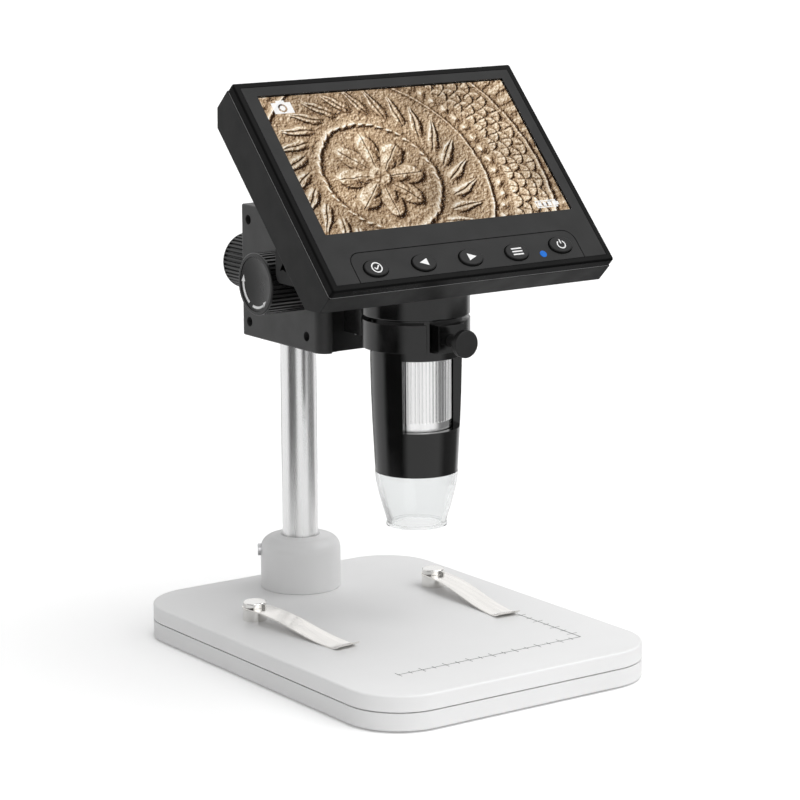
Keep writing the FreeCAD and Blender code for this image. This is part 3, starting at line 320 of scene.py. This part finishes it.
def add_highlight_strip():
    """Four loops, outer front, outer back, inner back and inner front, each joined to the next by quads."""
    corners = ((SEAM_IN, SEAM_FROM), (SEAM_IN, SEAM_TO), (SEAM_WIDE, SEAM_TO), (SEAM_WIDE, SEAM_FROM))
    loops = [highlight_strip_loop(inset, depth) for inset, depth in corners]
    count = len(loops[0])
    faces = []
    for n in range(len(loops)):
        here, there = n * count, (n + 1) % len(loops) * count
        for i in range(count):
            k = (i + 1) % count
            faces.append((here + i, here + k, there + k, there + i))
    # Light grey for the strip: a painted highlight along the frame's edge, not the colour of any real part
    painted_highlight_grey = surface("painted_highlight_grey", grey(0.20), 0.45, tone=0.08, specular=0.3)
    add_mesh("seam_painted_highlight", sum(loops, []), faces, painted_highlight_grey, "head")


add_highlight_strip()


# The screen's picture: a generic bronze relief, worked out from plain shapes
LCD_X = 0.45
LCD_U = 48.2
LCD_W = 95.04
LCD_H = 53.86
PICTURE_DEPTH = 0.75
COLUMNS = 460
ROWS = 262
RELIEF = 1.9

# Plan of the relief in mm from the rosette's middle, from the inside out, with heights over the ground
ROSETTE = (-17.0, -7.0)
PETALS = 8
PETAL_FOOT = 9.5
PETAL_REACH = 6.5
PETAL_BLUNT = 0.8
PETAL_FULL_AT = 12
PETAL_HIGH = 1.1
FOLD_DEEP = 0.25
PETAL_INNER = 0.62
PETAL_INNER_HIGH = 0.35
HEART_R = 3.4
HEART_HIGH = 0.5
PIT_R = 1.5
PIT_DEEP = 0.3
VEIN_FROM = 4
VEIN_W = 0.6
VEIN_DEEP = 0.35
ROPE_R = 21.0
ROPE_W = 0.9
ROPE_HIGH = 0.9
ROPE_STRANDS = 40
ROPE_LEAN = 2.2
STRAND_DEEP = 0.2
LEAVES = 26
LEAVES_R = 30.2
LEAF_LEAN = math.radians(38)
LEAF_LONG = 6.2
LEAF_WIDE = 1.9
LEAF_TAPER = 12
LEAF_SHARES = (0.2, 2)
LEAF_SHOULDER = 0.4
LEAF_HIGH = 0.75
LEAF_VEIN_W = 0.3
LEAF_VEIN_DEEP = 0.4
RING_R = 39.5
RING_W = 0.7
RING_HIGH = 0.7
BEADS = 60
BEADS_R = 43.5
BEAD_W = 1.2
BEAD_HIGH = 0.7
SCALES_FROM = 47
SCALES_TO = 61
SCALES_IN = 0.2
SCALE_ROW = 3.4
SCALES_ROUND = 52
SCALE_HIGH = 0.5
SCALE_VEIN_W = 0.05
SCALE_VEIN_DEEP = 0.25
RIM_R = 62.0
RIM_W = 0.8
RIM_HIGH = 0.8
TEETH_FROM = 64
TEETH = 96
TEETH_HIGH = 0.3

# Past this many widths a step is flat, and its exponent stays small enough to work out
STEP_LIMIT = 40


def blurred(field, width):
    fy = np.fft.fftfreq(field.shape[0])[:, None]
    fx = np.fft.fftfreq(field.shape[1])[None, :]
    soft = np.exp(-2 * (math.pi * width) ** 2 * (fx ** 2 + fy ** 2))
    return np.real(np.fft.ifft2(np.fft.fft2(field) * soft))


def grain_field(rng, width):
    field = blurred(rng.normal(size=(ROWS, COLUMNS)), width)
    return field / field.std()


def step(value, soft):
    """0 well below zero and 1 well above it, with a slope about soft wide between."""
    return 1 / (1 + np.exp(-np.clip(value / soft, -STEP_LIMIT, STEP_LIMIT)))


def ridge(distance, width):
    """1 where the distance is zero, falling off over the width."""
    return np.exp(-(distance / width) ** 2)


def rosette(r, turn):
    """Petals with folds and veins round a raised heart that has a pit."""
    petal = PETAL_FOOT + PETAL_REACH * np.abs(np.cos(PETALS / 2 * turn)) ** PETAL_BLUNT
    folds = 1 - FOLD_DEEP + FOLD_DEEP * np.cos(PETALS * turn) * np.clip(r / PETAL_FULL_AT, 0, 1)
    height = PETAL_HIGH * step(petal - r, soft=0.35) * folds
    height += PETAL_INNER_HIGH * step(petal * PETAL_INNER - r, soft=0.3)
    height += HEART_HIGH * step(HEART_R - r, soft=0.25) - PIT_DEEP * step(PIT_R - r, soft=0.25)
    veins = ridge(np.abs(np.sin(PETALS / 2 * turn)) * r, VEIN_W)
    return height - VEIN_DEEP * veins * step(r - VEIN_FROM, soft=0.4) * step(petal - r, soft=0.4)


def rings(r, turn):
    """A twisted rope, a plain ring and a rim with teeth outside it."""
    strands = 1 - STRAND_DEEP + STRAND_DEEP * np.sin(ROPE_STRANDS * turn + ROPE_LEAN * (r - ROPE_R))
    height = ROPE_HIGH * ridge(r - ROPE_R, ROPE_W) * strands
    height += RING_HIGH * ridge(r - RING_R, RING_W)
    height += RIM_HIGH * ridge(r - RIM_R, RIM_W)
    return height + TEETH_HIGH * step(r - TEETH_FROM, soft=0.3) * step(np.cos(TEETH * turn), soft=0.3)


def leaf(dx, dy, at):
    """One pointed leaf with a vein, at that angle on the ring of leaves."""
    x, y = dx - LEAVES_R * math.cos(at), dy - LEAVES_R * math.sin(at)
    lean = at + LEAF_LEAN
    u = x * math.cos(lean) + y * math.sin(lean)
    v = -x * math.sin(lean) + y * math.cos(lean)
    half = LEAF_WIDE * np.clip(1 - u / LEAF_TAPER, *LEAF_SHARES)
    body = 1 - (u / LEAF_LONG) ** 2 - (v / half) ** 2
    vein = LEAF_VEIN_DEEP * ridge(v, LEAF_VEIN_W)
    return step(body, soft=0.12) * (LEAF_HIGH * np.clip(body + LEAF_SHOULDER, 0, 1) - vein)


def bead(dx, dy, at):
    away = np.hypot(dx - BEADS_R * math.cos(at), dy - BEADS_R * math.sin(at))
    return BEAD_HIGH * ridge(away, BEAD_W)


def scales(r, turn):
    """Rows of round scales, each row shifted by half a scale."""
    row = np.floor((r - SCALES_FROM) / SCALE_ROW)
    out = np.mod((r - SCALES_FROM) / SCALE_ROW, 1)
    across = np.mod(turn * SCALES_ROUND / (2 * math.pi) + np.mod(row, 2) / 2, 1) - 0.5
    plume = np.sqrt(np.clip(1 - (2 * across) ** 2, 0, 1)) - out
    inside = step(r - SCALES_FROM - SCALES_IN, soft=0.2) * step(SCALES_TO - r, soft=0.2)
    vein = SCALE_VEIN_DEEP * ridge(across, SCALE_VEIN_W)
    return inside * (SCALE_HIGH * step(plume, soft=0.05) * (0.5 + out) - vein)


def relief(px, py):
    """Height of the relief over the picture's plane, px and py in mm from its middle."""
    dx, dy = px - ROSETTE[0], py - ROSETTE[1]
    r, turn = np.hypot(dx, dy), np.arctan2(dy, dx)
    height = rosette(r, turn) + rings(r, turn) + scales(r, turn)
    for k in range(LEAVES):
        height += leaf(dx, dy, 2 * math.pi * k / LEAVES)
    for k in range(BEADS):
        height += bead(dx, dy, 2 * math.pi * (k + 0.5) / BEADS)
    return height


# Signs over the picture, in mm: a camera at the top left and a battery at the bottom right
CAMERA_IN = (7.2, 4.6)
CAMERA_HALF = (3.6, 2.2)
FINDER_HALF = (1.6, 0.7)
FINDER_UP = 2.4
LENS_GAP = (1.0, 1.6)
BATTERY_IN = (8.0, 3.2)
BATTERY_HALF = (4.2, 1.5)
BATTERY_WALL = 0.5
BAR_PITCH = 1.9
BAR_HALF = 0.8
NUB_HALF = (0.5, 0.7)
NUB_OUT = 4.6
SIGN_STRENGTH = 0.95


def oblong(x, y, half):
    return (np.abs(x) < half[0]) & (np.abs(y) < half[1])


def screen_marks(px, py):
    """How much of each point a white sign covers."""
    x, y = px + LCD_W / 2 - CAMERA_IN[0], py - LCD_H / 2 + CAMERA_IN[1]
    lens = np.hypot(x, y)
    camera = oblong(x, y, CAMERA_HALF) | oblong(x, y - FINDER_UP, FINDER_HALF)
    camera &= ~((lens > LENS_GAP[0]) & (lens < LENS_GAP[1]))
    x, y = px - LCD_W / 2 + BATTERY_IN[0], py + LCD_H / 2 - BATTERY_IN[1]
    inner = (BATTERY_HALF[0] - BATTERY_WALL, BATTERY_HALF[1] - BATTERY_WALL)
    bars = (np.mod(x + inner[0], BAR_PITCH) > BATTERY_WALL) & (np.abs(y) < BAR_HALF)
    battery = oblong(x, y, BATTERY_HALF) & (~oblong(x, y, inner) | bars)
    battery |= oblong(x - NUB_OUT, y, NUB_HALF)
    return (camera | battery).astype(float) * SIGN_STRENGTH


# Bronze from its hollows to its highlights: tone, and sRGB colour out of 255
SHADES = ((0.05, (44, 30, 20)), (0.30, (112, 88, 66)), (0.55, (172, 146, 116)),
          (0.74, (208, 186, 158)), (0.88, (243, 228, 206)), (1.05, (255, 252, 244)))
PICTURE_SEED = 12
PICTURE_LIGHT = Vector((-0.55, 0.62, 0.56)).normalized()

# Unevenness of the bronze: how far the plan wanders in mm, grains in mm of height, and stains on the
# colour; each span is in points of the picture
WOBBLE = 0.16
WOBBLE_SPAN = 6
GRAINS = (dict(span=0.8, high=0.07), dict(span=1.6, high=0.07), dict(span=5, high=0.05))
STAIN = 0.05
STAIN_SPAN = 22

# What makes a point's tone: a ground tone, light, height over its surroundings, fine grain and steepness
TONE_GROUND = 0.20
TONE_LIT = 0.70
TONE_HOLLOW = 0.30
HOLLOW_SPAN = 5
TONE_GRAIN = 0.035
TONE_GRAIN_SPAN = 0.7
TONE_STEEP = 0.16
STEEP_FROM = 0.8
TONE_MOST = 1.15


def linear(srgb):
    return np.where(srgb <= 0.04045, srgb / 12.92, ((srgb + 0.055) / 1.055) ** 2.4)


def picture_colours():
    """The picture's points in mm from its middle, and its linear colours."""
    rng = np.random.default_rng(PICTURE_SEED)
    across = np.linspace(-LCD_W / 2, LCD_W / 2, COLUMNS)
    upward = np.linspace(-LCD_H / 2, LCD_H / 2, ROWS)
    px, py = np.meshgrid(across, upward)
    wobble_x = WOBBLE * grain_field(rng, WOBBLE_SPAN)
    wobble_y = WOBBLE * grain_field(rng, WOBBLE_SPAN)
    height = RELIEF * relief(px + wobble_x, py + wobble_y)
    for grain in GRAINS:
        height += grain["high"] * grain_field(rng, grain["span"])
    gy, gx = np.gradient(height, LCD_W / COLUMNS)
    light = PICTURE_LIGHT
    lit = (-gx * light.x - gy * light.y + light.z) / np.sqrt(1 + gx ** 2 + gy ** 2)
    hollow = np.clip(height - blurred(height, HOLLOW_SPAN), -1, 1)
    tone = TONE_GROUND + TONE_LIT * lit + TONE_HOLLOW * hollow
    tone += TONE_GRAIN * grain_field(rng, TONE_GRAIN_SPAN)
    tone -= TONE_STEEP * np.clip(np.hypot(gx, gy) - STEEP_FROM, 0, 2)
    tone = np.clip(tone, 0, TONE_MOST)
    stain = 1 + STAIN * grain_field(rng, STAIN_SPAN)
    stops, shades = zip(*SHADES)
    rgb = np.stack([np.interp(tone, stops, channel) for channel in zip(*shades)], axis=-1)
    rgb = rgb / 255 * stain[..., None]
    marks = screen_marks(px, py)[..., None]
    rgb = np.clip(rgb * (1 - marks) + marks, 0, 1)
    return px, py, linear(rgb)


def lit_picture():
    """Shows the mesh's own colours as light, with no gloss."""
    mat, tree, shader = new_material("lit_picture")
    attribute = tree.nodes.new("ShaderNodeAttribute")
    attribute.attribute_name = "picture"
    tree.links.new(attribute.outputs["Color"], shader.inputs["Emission Color"])
    shader.inputs["Emission Strength"].default_value = 1.0
    shader.inputs["Base Color"].default_value = (0.0, 0.0, 0.0, 1)
    shader.inputs["Specular IOR Level"].default_value = 0.0
    return mat


def add_picture():
    px, py, colours = picture_colours()
    origin = np.array(on_face(PICTURE_DEPTH)(LCD_X, LCD_U))
    points = origin + px[..., None] * np.array((MM, 0, 0)) + py[..., None] * np.array(UP * MM)
    index = np.arange(ROWS * COLUMNS).reshape(ROWS, COLUMNS)
    quads = np.stack([index[:-1, :-1], index[:-1, 1:], index[1:, 1:], index[1:, :-1]], axis=-1)
    picture = add_mesh("screen_picture", points.reshape(-1, 3).tolist(), quads.reshape(-1, 4).tolist(),
                       lit_picture(), "head")
    layer = picture.data.color_attributes.new("picture", "FLOAT_COLOR", "POINT")
    rgba = np.ones((ROWS * COLUMNS, 4), np.float32)
    rgba[:, :3] = colours.reshape(-1, 3)
    layer.data.foreach_set("color", rgba.ravel())


add_picture()

# Signs on the keys, in mm: a tick in a ring, two triangles, three bars and a power sign
KEY_X = {"confirm": -35.6, "previous": -17.65, "next": 0.3, "menu": 18.25, "power": 36.2}
KEY_U = 6.75
POWER_U = 7.6
KEY_TOP = -0.72
SIGN_LINE = 0.42
TICK_LINE = 0.4
BAR_LINE = 0.5
TICK_RING_R = 1.75
TICK_POINTS = ((-0.85, 0.05), (-0.2, -0.7), (0.95, 0.75))
TRIANGLE_TIP = 1.9
TRIANGLE_BACK = 1.2
TRIANGLE_HALF = 1.35
BAR_ROWS = (-1.1, 0, 1.1)
BAR_REACH = 2.0
POWER_RING_R = 1.45
POWER_RING_DOWN = 0.1
POWER_OPEN = 35
POWER_LINE_FROM = 0.2
POWER_LINE_TO = 1.9


def shifted(outlines, x, u):
    return [[(px + x, pu + u) for px, pu in outline] for outline in outlines]


def pointer(way):
    """A triangle that points to the right for 1 and to the left for -1."""
    back = -way * TRIANGLE_BACK
    return [[(way * TRIANGLE_TIP, 0), (back, -way * TRIANGLE_HALF), (back, way * TRIANGLE_HALF)]]


def power_sign():
    """A ring that is open for POWER_OPEN degrees to either side of its top, with a line through the gap."""
    start, end = 90 + POWER_OPEN, 450 - POWER_OPEN
    ring = band(0, -POWER_RING_DOWN, POWER_RING_R, SIGN_LINE, start, end, steps=28)
    return ring + stroke([(0, POWER_LINE_FROM), (0, POWER_LINE_TO)], SIGN_LINE)


signs = {
    "confirm": band(0, 0, TICK_RING_R, SIGN_LINE, 0, 360, steps=32) + stroke(TICK_POINTS, TICK_LINE),
    "previous": pointer(-1),
    "next": pointer(1),
    "menu": [q for row in BAR_ROWS for q in stroke([(-BAR_REACH, row), (BAR_REACH, row)], BAR_LINE)],
    "power": power_sign(),
}
for key, outlines in signs.items():
    key_u = POWER_U if key == "power" else KEY_U
    flat_print(key + "_sign", shifted(outlines, KEY_X[key], key_u), on_face(KEY_TOP), white_print,
               key + "_button")

# Two arc arrows on each focus knob's dished disc, in mm and in degrees from +Y towards +Z
ARROW_R = 7.7
ARROW_W = 0.8
ARROW_HEAD_HALF = 0.85
ARROW_HEAD_SPAN = 17
LONG_ARC = (0, -58)
SHORT_ARC = (-74, -122)
SHORT_HEAD_AT = -124
DISH_R = 8.7
DISH_DEPTH = 1.1
DISH_BALL = (DISH_R ** 2 + DISH_DEPTH ** 2) / (2 * DISH_DEPTH)
ARROW_LIFT = 0.03
disc_low, disc_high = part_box("focus_knob_discs")
knob_low, knob_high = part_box("focus_knob_left")
knob_mid = (knob_low + knob_high) / 2


def on_disc(side):
    """Places (y, z) in mm from the knob's axis on the dished disc of that side."""
    def put(y, z):
        sunk = math.sqrt(DISH_BALL ** 2 - y * y - z * z) - (DISH_BALL - DISH_DEPTH)
        edge = disc_low.x if side < 0 else disc_high.x
        return Vector((edge - side * (sunk - ARROW_LIFT) * MM, knob_mid.y + y * MM, knob_mid.z + z * MM))
    return put


def arrow_head(at, way):
    """Triangle on the arrows' circle, pointing towards growing or falling angles."""
    corners = ((ARROW_R + ARROW_HEAD_HALF, at), (ARROW_R, at + way * ARROW_HEAD_SPAN),
               (ARROW_R - ARROW_HEAD_HALF, at))
    return [[(r * math.cos(math.radians(turn)), r * math.sin(math.radians(turn))) for r, turn in corners]]


for side, name in ((-1, "left"), (1, "right")):
    arcs = band(0, 0, ARROW_R, ARROW_W, *LONG_ARC) + arrow_head(LONG_ARC[0], 1)
    arcs += band(0, 0, ARROW_R, ARROW_W, *SHORT_ARC) + arrow_head(SHORT_HEAD_AT, -1)
    flat_print(name + "_knob_arrows", arcs, on_disc(side), white_print, "focus_drive")

# Rule printed on the stage, one long arm and one short arm
stage_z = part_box("base_cover")[1].z + PRINT_LIFT * MM
RULE_Y = -53.2
RULE_X0 = -35.0
RULE_X1 = 37.6
RULE_TOP = -19.2
RULE_W = 0.35
RULE_MARGIN = 0.3
TICK = 9.1
TICK_W = 0.28
TICK_HALF = 2.0
HALF_TICK_HALF = 1.2
LONG_ARM_TICKS = 16
SHORT_ARM_TICKS = 8


def ticks(count, first, at):
    """Long and short ticks in turn across a rule's arm, half a TICK apart."""
    quads = []
    for i in range(count):
        half = TICK_HALF if i % 2 == 0 else HALF_TICK_HALF
        along = first + i * TICK / 2
        quads += stroke([at(along, -half), at(along, half)], TICK_W)
    return quads


rule = stroke([(RULE_X0, RULE_Y), (RULE_X1, RULE_Y)], RULE_W)
rule += stroke([(RULE_X1, RULE_Y), (RULE_X1, RULE_TOP)], RULE_W)
rule += ticks(LONG_ARM_TICKS, RULE_X0 + RULE_MARGIN, lambda t, s: (t, RULE_Y + s))
rule += ticks(SHORT_ARM_TICKS, RULE_Y + TICK / 2, lambda t, s: (RULE_X1 + s, t))
rule_ink = surface("rule_ink", grey(0.14), 0.6, tone=0.15, cloud=300, specular=0.1)
flat_print("stage_rule", rule, lambda x, y: Vector((x * MM, y * MM, stage_z)), rule_ink,
           "stand")

# Small notched triangle on the wedge's left wall
WEDGE_X = -33.3
NOTCHED = [[(10.2, 130.3), (12.1, 133.2), (14.0, 130.3), (12.1, 131.0)]]


def on_wedge(y, z):
    return Vector(((WEDGE_X - PRINT_LIFT) * MM, y * MM, z * MM))


flat_print("wedge_mark", NOTCHED, on_wedge, black_print, "head")


# Floor
FLOOR_SIZE = 12
FLOOR_CLOUD = 2.0
FLOOR_LIFT = 0.2


def floor_material():
    """A pale matt floor with a little light of its own that only the camera sees."""
    mat, tree, shader = new_material("pale_floor")
    pale = two_tone(tree, noise(tree, FLOOR_CLOUD), grey(0.90), grey(0.92))
    tree.links.new(pale, shader.inputs["Base Color"])
    shader.inputs["Roughness"].default_value = 1.0
    shader.inputs["Specular IOR Level"].default_value = 0.0
    path = tree.nodes.new("ShaderNodeLightPath")
    glow = tree.nodes.new("ShaderNodeEmission")
    glow.inputs["Color"].default_value = (1, 1, 1, 1)
    lift = tree.nodes.new("ShaderNodeMath")
    lift.operation = "MULTIPLY"
    lift.inputs[1].default_value = FLOOR_LIFT
    tree.links.new(path.outputs["Is Camera Ray"], lift.inputs[0])
    tree.links.new(lift.outputs[0], glow.inputs["Strength"])
    both = tree.nodes.new("ShaderNodeAddShader")
    tree.links.new(shader.outputs["BSDF"], both.inputs[0])
    tree.links.new(glow.outputs["Emission"], both.inputs[1])
    tree.links.new(both.outputs["Shader"], tree.nodes["Material Output"].inputs["Surface"])
    return mat


bpy.ops.mesh.primitive_plane_add(size=FLOOR_SIZE, location=(0, 0, 0))
floor = bpy.context.object
floor.name = "floor"
floor.data.materials.append(floor_material())


# Light: a pale world, white where it is seen directly, mirrored or through glass, and two soft suns
WORLD_LIGHT = 0.46
KEY_SUN = 0.54
FILL_SUN = 0.16
SUN_SPREAD = 60


def larger(tree, first, second):
    node = tree.nodes.new("ShaderNodeMath")
    node.operation = "MAXIMUM"
    tree.links.new(first, node.inputs[0])
    tree.links.new(second, node.inputs[1])
    return node.outputs[0]


def add_world():
    world = bpy.data.worlds.new("world")
    bpy.context.scene.world = world
    world.use_nodes = True
    tree = world.node_tree
    back = tree.nodes["Background"]
    back.inputs["Color"].default_value = (1, 1, 1, 1)
    rays = tree.nodes.new("ShaderNodeLightPath").outputs
    seen = larger(tree, rays["Is Camera Ray"], rays["Is Glossy Ray"])
    seen = larger(tree, seen, rays["Is Transmission Ray"])
    level = tree.nodes.new("ShaderNodeMapRange")
    level.inputs["To Min"].default_value = WORLD_LIGHT
    level.inputs["To Max"].default_value = 1.0
    tree.links.new(seen, level.inputs["Value"])
    tree.links.new(level.outputs["Result"], back.inputs["Strength"])


def sun(name, direction, on_level):
    """A soft sun that gives on_level times the light of a white world on a face turned to it."""
    data = bpy.data.lights.new(name, "SUN")
    data.energy = on_level * math.pi
    data.angle = math.radians(SUN_SPREAD)
    ob = bpy.data.objects.new(name, data)
    ob.rotation_mode = "QUATERNION"
    ob.rotation_quaternion = Vector(direction).to_track_quat("Z", "Y")
    bpy.context.scene.collection.objects.link(ob)


add_world()
sun("key", (0.34, -0.36, 1.0), KEY_SUN)
sun("fill", (-0.10, -0.75, 0.60), FILL_SUN)

# Dark cards round the set: seen only in reflections, they give metal and black plastic their dark bands
CARD_MID = Vector((0, 0.03, 0))
CARD_STEPS = 20
CARD_FADE = 2.6
CARD_CLOUD = 3.0


def card_material():
    """Nearly black, and as solid as the mesh's cover says."""
    mat, tree, shader = new_material("dark_card")
    tone = two_tone(tree, noise(tree, CARD_CLOUD), grey(0.012), grey(0.018))
    tree.links.new(tone, shader.inputs["Base Color"])
    shader.inputs["Specular IOR Level"].default_value = 0.0
    cover = tree.nodes.new("ShaderNodeAttribute")
    cover.attribute_name = "cover"
    clear = tree.nodes.new("ShaderNodeBsdfTransparent")
    blend = tree.nodes.new("ShaderNodeMixShader")
    tree.links.new(cover.outputs["Fac"], blend.inputs["Fac"])
    tree.links.new(clear.outputs["BSDF"], blend.inputs[1])
    tree.links.new(shader.outputs["BSDF"], blend.inputs[2])
    tree.links.new(blend.outputs["Shader"], tree.nodes["Material Output"].inputs["Surface"])
    return mat


dark_card = card_material()


def card(name, heading, half_turn, away, high, most):
    """An upright curved card, heading in degrees from +X towards +Y; it fades out towards both its ends."""
    verts, cover = [], []
    for i in range(CARD_STEPS + 1):
        across = -1 + 2 * i / CARD_STEPS
        a = math.radians(heading + half_turn * across)
        foot = CARD_MID + Vector((math.cos(a), math.sin(a), 0)) * away
        verts += [foot, foot + Vector((0, 0, high))]
        cover += [most * min(1.0, CARD_FADE * (1 - abs(across)))] * 2
    faces = [(2 * i, 2 * i + 2, 2 * i + 3, 2 * i + 1) for i in range(CARD_STEPS)]
    mesh = bpy.data.meshes.new(name)
    mesh.from_pydata(verts, [], faces)
    mesh.materials.append(dark_card)
    mesh.attributes.new("cover", "FLOAT", "POINT").data.foreach_set("value", cover)
    ob = bpy.data.objects.new(name, mesh)
    bpy.context.scene.collection.objects.link(ob)
    ob.visible_camera = False
    ob.visible_diffuse = False
    ob.visible_shadow = False
    ob.visible_transmission = False


card("card_left", heading=189, half_turn=35, away=0.20, high=0.10, most=1.0)
card("card_right", heading=326, half_turn=38, away=0.17, high=0.10, most=0.8)
card("card_back", heading=62, half_turn=30, away=0.24, high=0.05, most=0.85)


# Camera, from one fit to the photograph's straight edges: turn and dip are those of its line of sight
CAM_PLACE = Vector((-0.54892, -0.78677, 0.28244))
CAM_TURN = math.radians(35.089)
CAM_DIP = math.radians(11.557)
CAM_ROLL = math.radians(-0.296)
CAM_LENS = 134.80
CAM_SENSOR = 36.0
CAM_CLIP = 0.05


def camera_turn():
    """The camera's own right, up and back as the columns of a matrix."""
    level_ahead = Vector((math.sin(CAM_TURN), math.cos(CAM_TURN), 0))
    forward = level_ahead * math.cos(CAM_DIP) - Vector((0, 0, math.sin(CAM_DIP)))
    level_right = Vector((math.cos(CAM_TURN), -math.sin(CAM_TURN), 0))
    level_up = level_right.cross(forward)
    right = math.cos(CAM_ROLL) * level_right + math.sin(CAM_ROLL) * level_up
    up = -math.sin(CAM_ROLL) * level_right + math.cos(CAM_ROLL) * level_up
    return Matrix((right, up, -forward)).transposed().to_4x4()


cam_data = bpy.data.cameras.new("camera")
cam_data.lens = CAM_LENS
cam_data.sensor_width = CAM_SENSOR
cam_data.clip_start = CAM_CLIP
cam = bpy.data.objects.new("camera", cam_data)
bpy.context.scene.collection.objects.link(cam)
cam.matrix_world = Matrix.Translation(CAM_PLACE) @ camera_turn()
bpy.context.scene.camera = cam
bpy.context.scene.view_settings.view_transform = "Standard"
